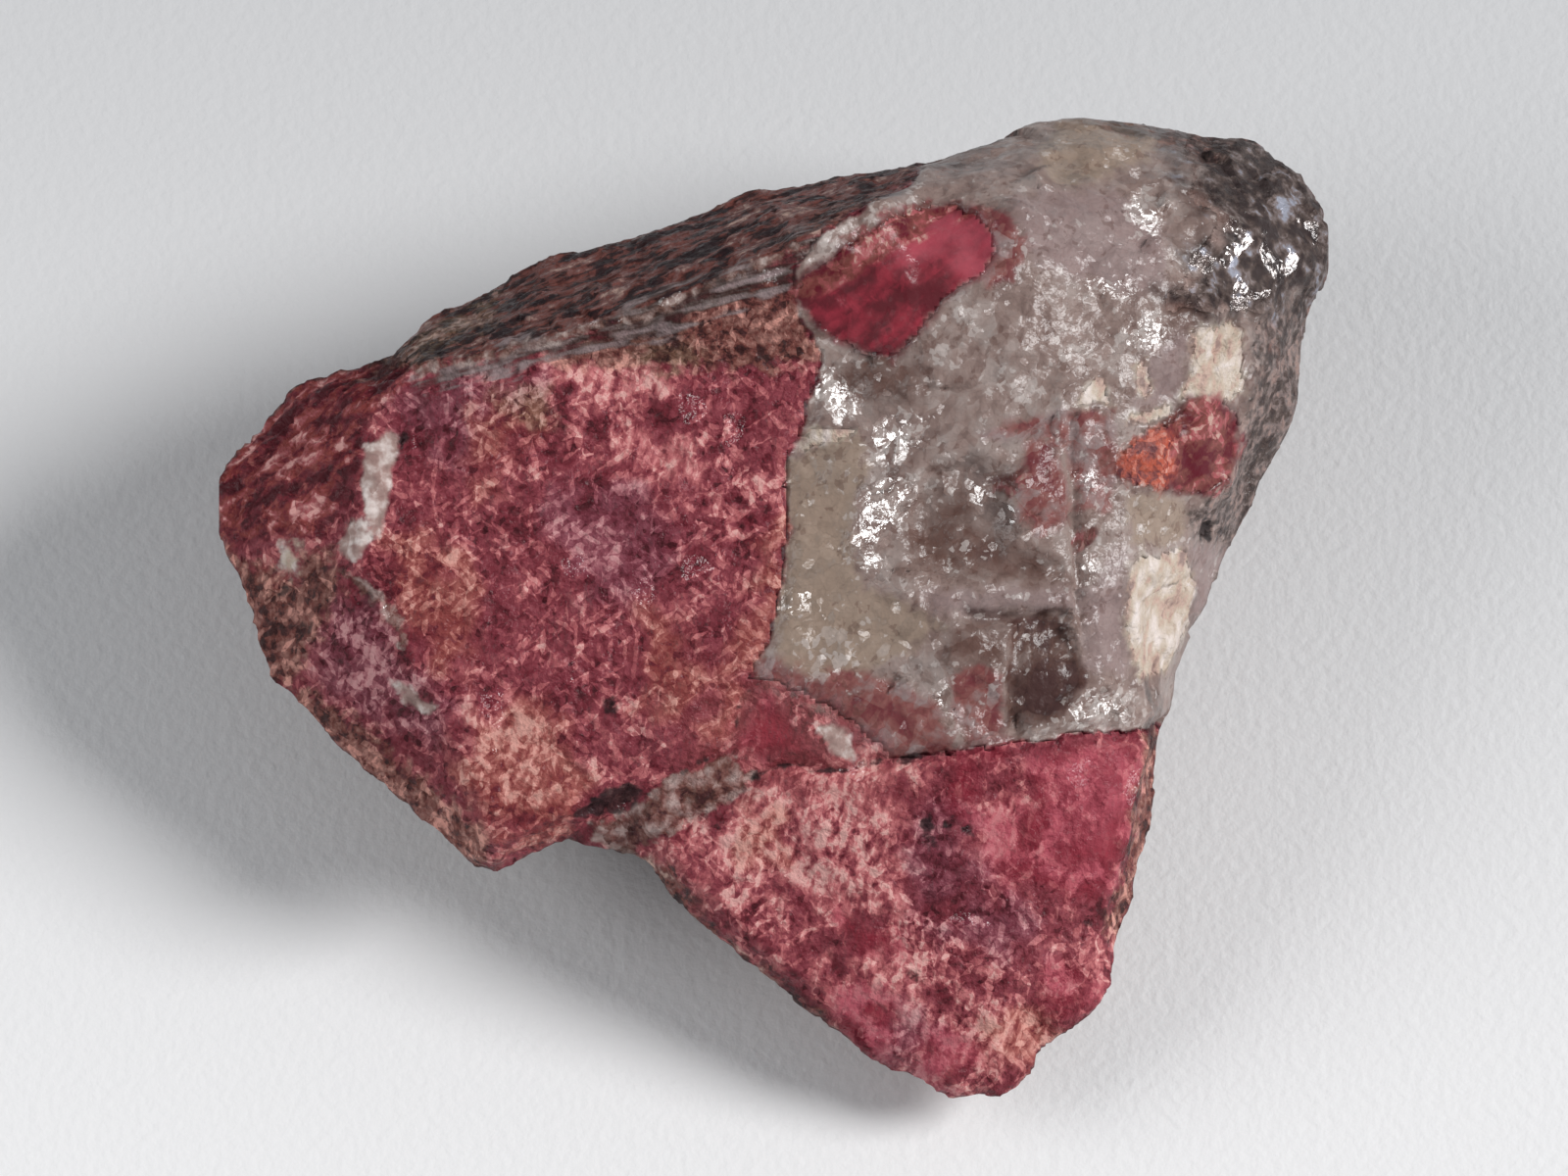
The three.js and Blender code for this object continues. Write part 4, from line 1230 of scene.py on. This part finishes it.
class RHODONITE_PG_stage(bpy.types.PropertyGroup):
    """The paper, the lights and the camera."""

    key_power: bpy.props.FloatProperty(name="Lamp power", description="Lamp on the right",
                                       default=5.96, unit="POWER")
    fill_power: bpy.props.FloatProperty(name="Fill power", description="Soft light on the left",
                                        default=0.345, unit="POWER")
    sky: bpy.props.FloatProperty(name="Room light", description="Light from all round",
                                 default=0.183)
    key_direction: bpy.props.FloatVectorProperty(
        name="Lamp direction", description="Azimuth and elevation of the lamp", size=2,
        default=(math.radians(1), math.radians(40)), subtype="NONE")
    view_width: length_setting("View width", "Width of the view at the stone", 66.7 * MM)
    view_distance: length_setting("View distance", "From the camera to the stone", 1.5)


# ---------------------------------------------------------------- operators


class RHODONITE_OT_surface(bpy.types.Operator):
    """Makes the broken surface of the whole stone from the CAD solid"""

    bl_idname = "rhodonite.surface"
    bl_label = "Broken surface"

    def execute(self, context):
        sizes = context.scene.rhodonite_sizes
        stone = fine_surface(sizes)
        map_layers(stone.data)
        roughen(stone.data, sizes)
        return {"FINISHED"}


def clear_depth(mesh, sizes):
    """How deep the clear quartz is under each point, in mm, and nothing outside it."""
    points = points_of(mesh)
    opaque = [layer_of(mesh, name) for name in OPAQUE_LAYERS]
    reach = np.min([layer_of(mesh, "quartz"), *[-values for values in opaque]], axis=0)
    depth = 0.45 + 0.55 * np.clip(soft_noise(points, 2.4, 12.0) + 0.4, 0, 1)
    depth *= sizes.quartz_depth / MM
    depth *= 1 - 0.7 * smooth_step(layer_of(mesh, "khaki"), -0.3, 0.5)
    return np.clip(np.minimum(reach * 0.9, depth), 0, None)


def patch_sizes(faces):
    """For each face, how many faces hang together with it."""
    owner = np.arange(faces.max() + 1)
    before = None
    while before is None or (owner != before).any():
        before = owner.copy()
        np.minimum.at(owner, faces.ravel(), np.repeat(owner[faces].min(axis=1), 4))
        owner = owner[owner]
    return np.bincount(owner[faces[:, 0]])[owner[faces[:, 0]]]


def whole_patches(faces, depth):
    """The faces that are cut out and their rim. Crumbs and pinched corners lose their depth."""
    while True:
        cut = faces[(depth[faces] > 0).any(axis=1)]
        sides = np.concatenate([cut[:, [i, (i + 1) % 4]] for i in range(4)])
        codes = sides @ (len(depth), 1)
        rim = sides[~np.isin(codes, sides @ (1, len(depth)))]
        pinched = np.bincount(rim[:, 0], minlength=len(depth)) > 1
        wrong = pinched[cut].any(axis=1) | (patch_sizes(cut) < FEWEST_FACES)
        if not wrong.any():
            return cut, rim
        depth[cut[wrong]] = 0


def sunk(points, depth):
    """The points, moved that far towards the middle of the quartz."""
    inward = QUARTZ_HEART - points
    return points + inward * (depth / np.linalg.norm(inward, axis=1))[:, None]


class RHODONITE_OT_quartz(bpy.types.Operator):
    """Cuts the clear quartz out of the stone as a solid of its own, with the stone under it"""

    bl_idname = "rhodonite.quartz"
    bl_label = "Clear quartz"

    def execute(self, context):
        sizes = context.scene.rhodonite_sizes
        colours = context.scene.rhodonite_colours
        stone = bpy.data.objects[STONE]
        points = points_of(stone.data)
        depth = clear_depth(stone.data, sizes)
        faces, rim = whole_patches(faces_of(stone.data), depth)
        used = np.unique(faces)
        faces = np.searchsorted(used, faces)
        count = len(used)
        inner = sunk(points[used], depth[used] + QUARTZ_OVERLAP)
        walls = [(b, a, a + count, b + count) for a, b in np.searchsorted(used, rim).tolist()]
        mesh = bpy.data.meshes.new(QUARTZ)
        mesh.from_pydata(
            (np.concatenate([points[used], inner]) * MM).tolist(), [],
            faces.tolist() + (faces[:, ::-1] + count).tolist() + walls)
        quartz = new_piece(QUARTZ, mesh)
        for name in (*OUTLINES, *FIELDS):
            values = layer_of(stone.data, name)[used]
            keep_layer(mesh, name, np.concatenate([values, values]))
        finish_piece(quartz, quartz_material(colours))
        move_points(stone.data, sunk(points, depth))
        return {"FINISHED"}


class RHODONITE_OT_body(bpy.types.Operator):
    """Finishes the rhodonite and the opaque minerals"""

    bl_idname = "rhodonite.body"
    bl_label = "Rhodonite body"

    def execute(self, context):
        colours = context.scene.rhodonite_colours
        finish_piece(bpy.data.objects[STONE], stone_material(colours))
        return {"FINISHED"}


def add_lamp(name, azimuth, elevation, distance, size, power):
    """A round soft lamp that shines on the stone from that side and height."""
    toward = Vector((math.cos(azimuth) * math.cos(elevation),
                     -math.sin(azimuth) * math.cos(elevation), math.sin(elevation)))
    bpy.ops.object.light_add(type="AREA", location=toward * distance)
    lamp = bpy.context.object
    lamp.name = name
    lamp.rotation_euler = toward.to_track_quat("Z", "Y").to_euler()
    lamp.data.shape = "DISK"
    lamp.data.size = size
    lamp.data.energy = power
    lamp.visible_camera = False


class RHODONITE_OT_stage(bpy.types.Operator):
    """Lays the paper, and sets the lights and the camera"""

    bl_idname = "rhodonite.stage"
    bl_label = "Paper, lights and camera"

    def execute(self, context):
        stage = context.scene.rhodonite_stage
        bpy.ops.object.select_all(action="DESELECT")
        bpy.ops.mesh.primitive_plane_add(size=PAPER_SIZE)
        paper = context.object
        paper.name = "paper"
        paper.data.materials.append(paper_material(context.scene.rhodonite_colours))
        azimuth, elevation = stage.key_direction
        add_lamp("lamp", azimuth, elevation, LAMP_DISTANCE, LAMP_SIZE, stage.key_power)
        azimuth, elevation = FILL_DIRECTION
        add_lamp("fill", azimuth, elevation, FILL_DISTANCE, FILL_SIZE, stage.fill_power)

        world = bpy.data.worlds.new("room")
        world.use_nodes = True
        background = world.node_tree.nodes["Background"]
        background.inputs["Color"].default_value = (*SKY_COLOUR, 1.0)
        background.inputs["Strength"].default_value = stage.sky
        context.scene.world = world
        context.scene.view_settings.view_transform = "Standard"

        middle = Vector((0, -AIM_HEIGHT / math.tan(SIGHT_ANGLE), AIM_HEIGHT))
        bpy.ops.object.camera_add(location=middle + Vector(SIGHT) * stage.view_distance)
        camera = context.object
        camera.rotation_euler = (math.pi / 2 - SIGHT_ANGLE, 0, 0)
        camera.data.sensor_width = SENSOR_WIDTH
        camera.data.lens = SENSOR_WIDTH * stage.view_distance / stage.view_width
        camera.data.clip_start = 0.01
        camera.data.clip_end = 20
        context.scene.camera = camera
        return {"FINISHED"}


class RHODONITE_PT_panel(bpy.types.Panel):
    """Lists the steps that build the stone"""

    bl_idname = "RHODONITE_PT_panel"
    bl_label = "Rough rhodonite"
    bl_space_type = "VIEW_3D"
    bl_region_type = "UI"
    bl_category = "Rhodonite"

    def draw(self, context):
        for operator in OPERATORS:
            self.layout.operator(operator.bl_idname)
        for settings in (context.scene.rhodonite_sizes, context.scene.rhodonite_colours,
                         context.scene.rhodonite_stage):
            box = self.layout.box()
            for name in settings.__annotations__:
                box.prop(settings, name)


OPERATORS = (RHODONITE_OT_surface, RHODONITE_OT_quartz, RHODONITE_OT_body, RHODONITE_OT_stage)
SETTINGS = {
    "rhodonite_sizes": RHODONITE_PG_sizes,
    "rhodonite_colours": RHODONITE_PG_colours,
    "rhodonite_stage": RHODONITE_PG_stage,
}
CLASSES = (*SETTINGS.values(), *OPERATORS, RHODONITE_PT_panel)


def register():
    for kind in CLASSES:
        bpy.utils.register_class(kind)
    for name, kind in SETTINGS.items():
        setattr(bpy.types.Scene, name, bpy.props.PointerProperty(type=kind))


def unregister():
    for name in SETTINGS:
        delattr(bpy.types.Scene, name)
    for kind in reversed(CLASSES):
        bpy.utils.unregister_class(kind)


def main():
    register()
    bpy.ops.object.select_all(action="DESELECT")
    bpy.ops.rhodonite.surface()
    bpy.ops.rhodonite.quartz()
    bpy.ops.rhodonite.body()
    bpy.ops.rhodonite.stage()


if __name__ == "__main__":
    main()
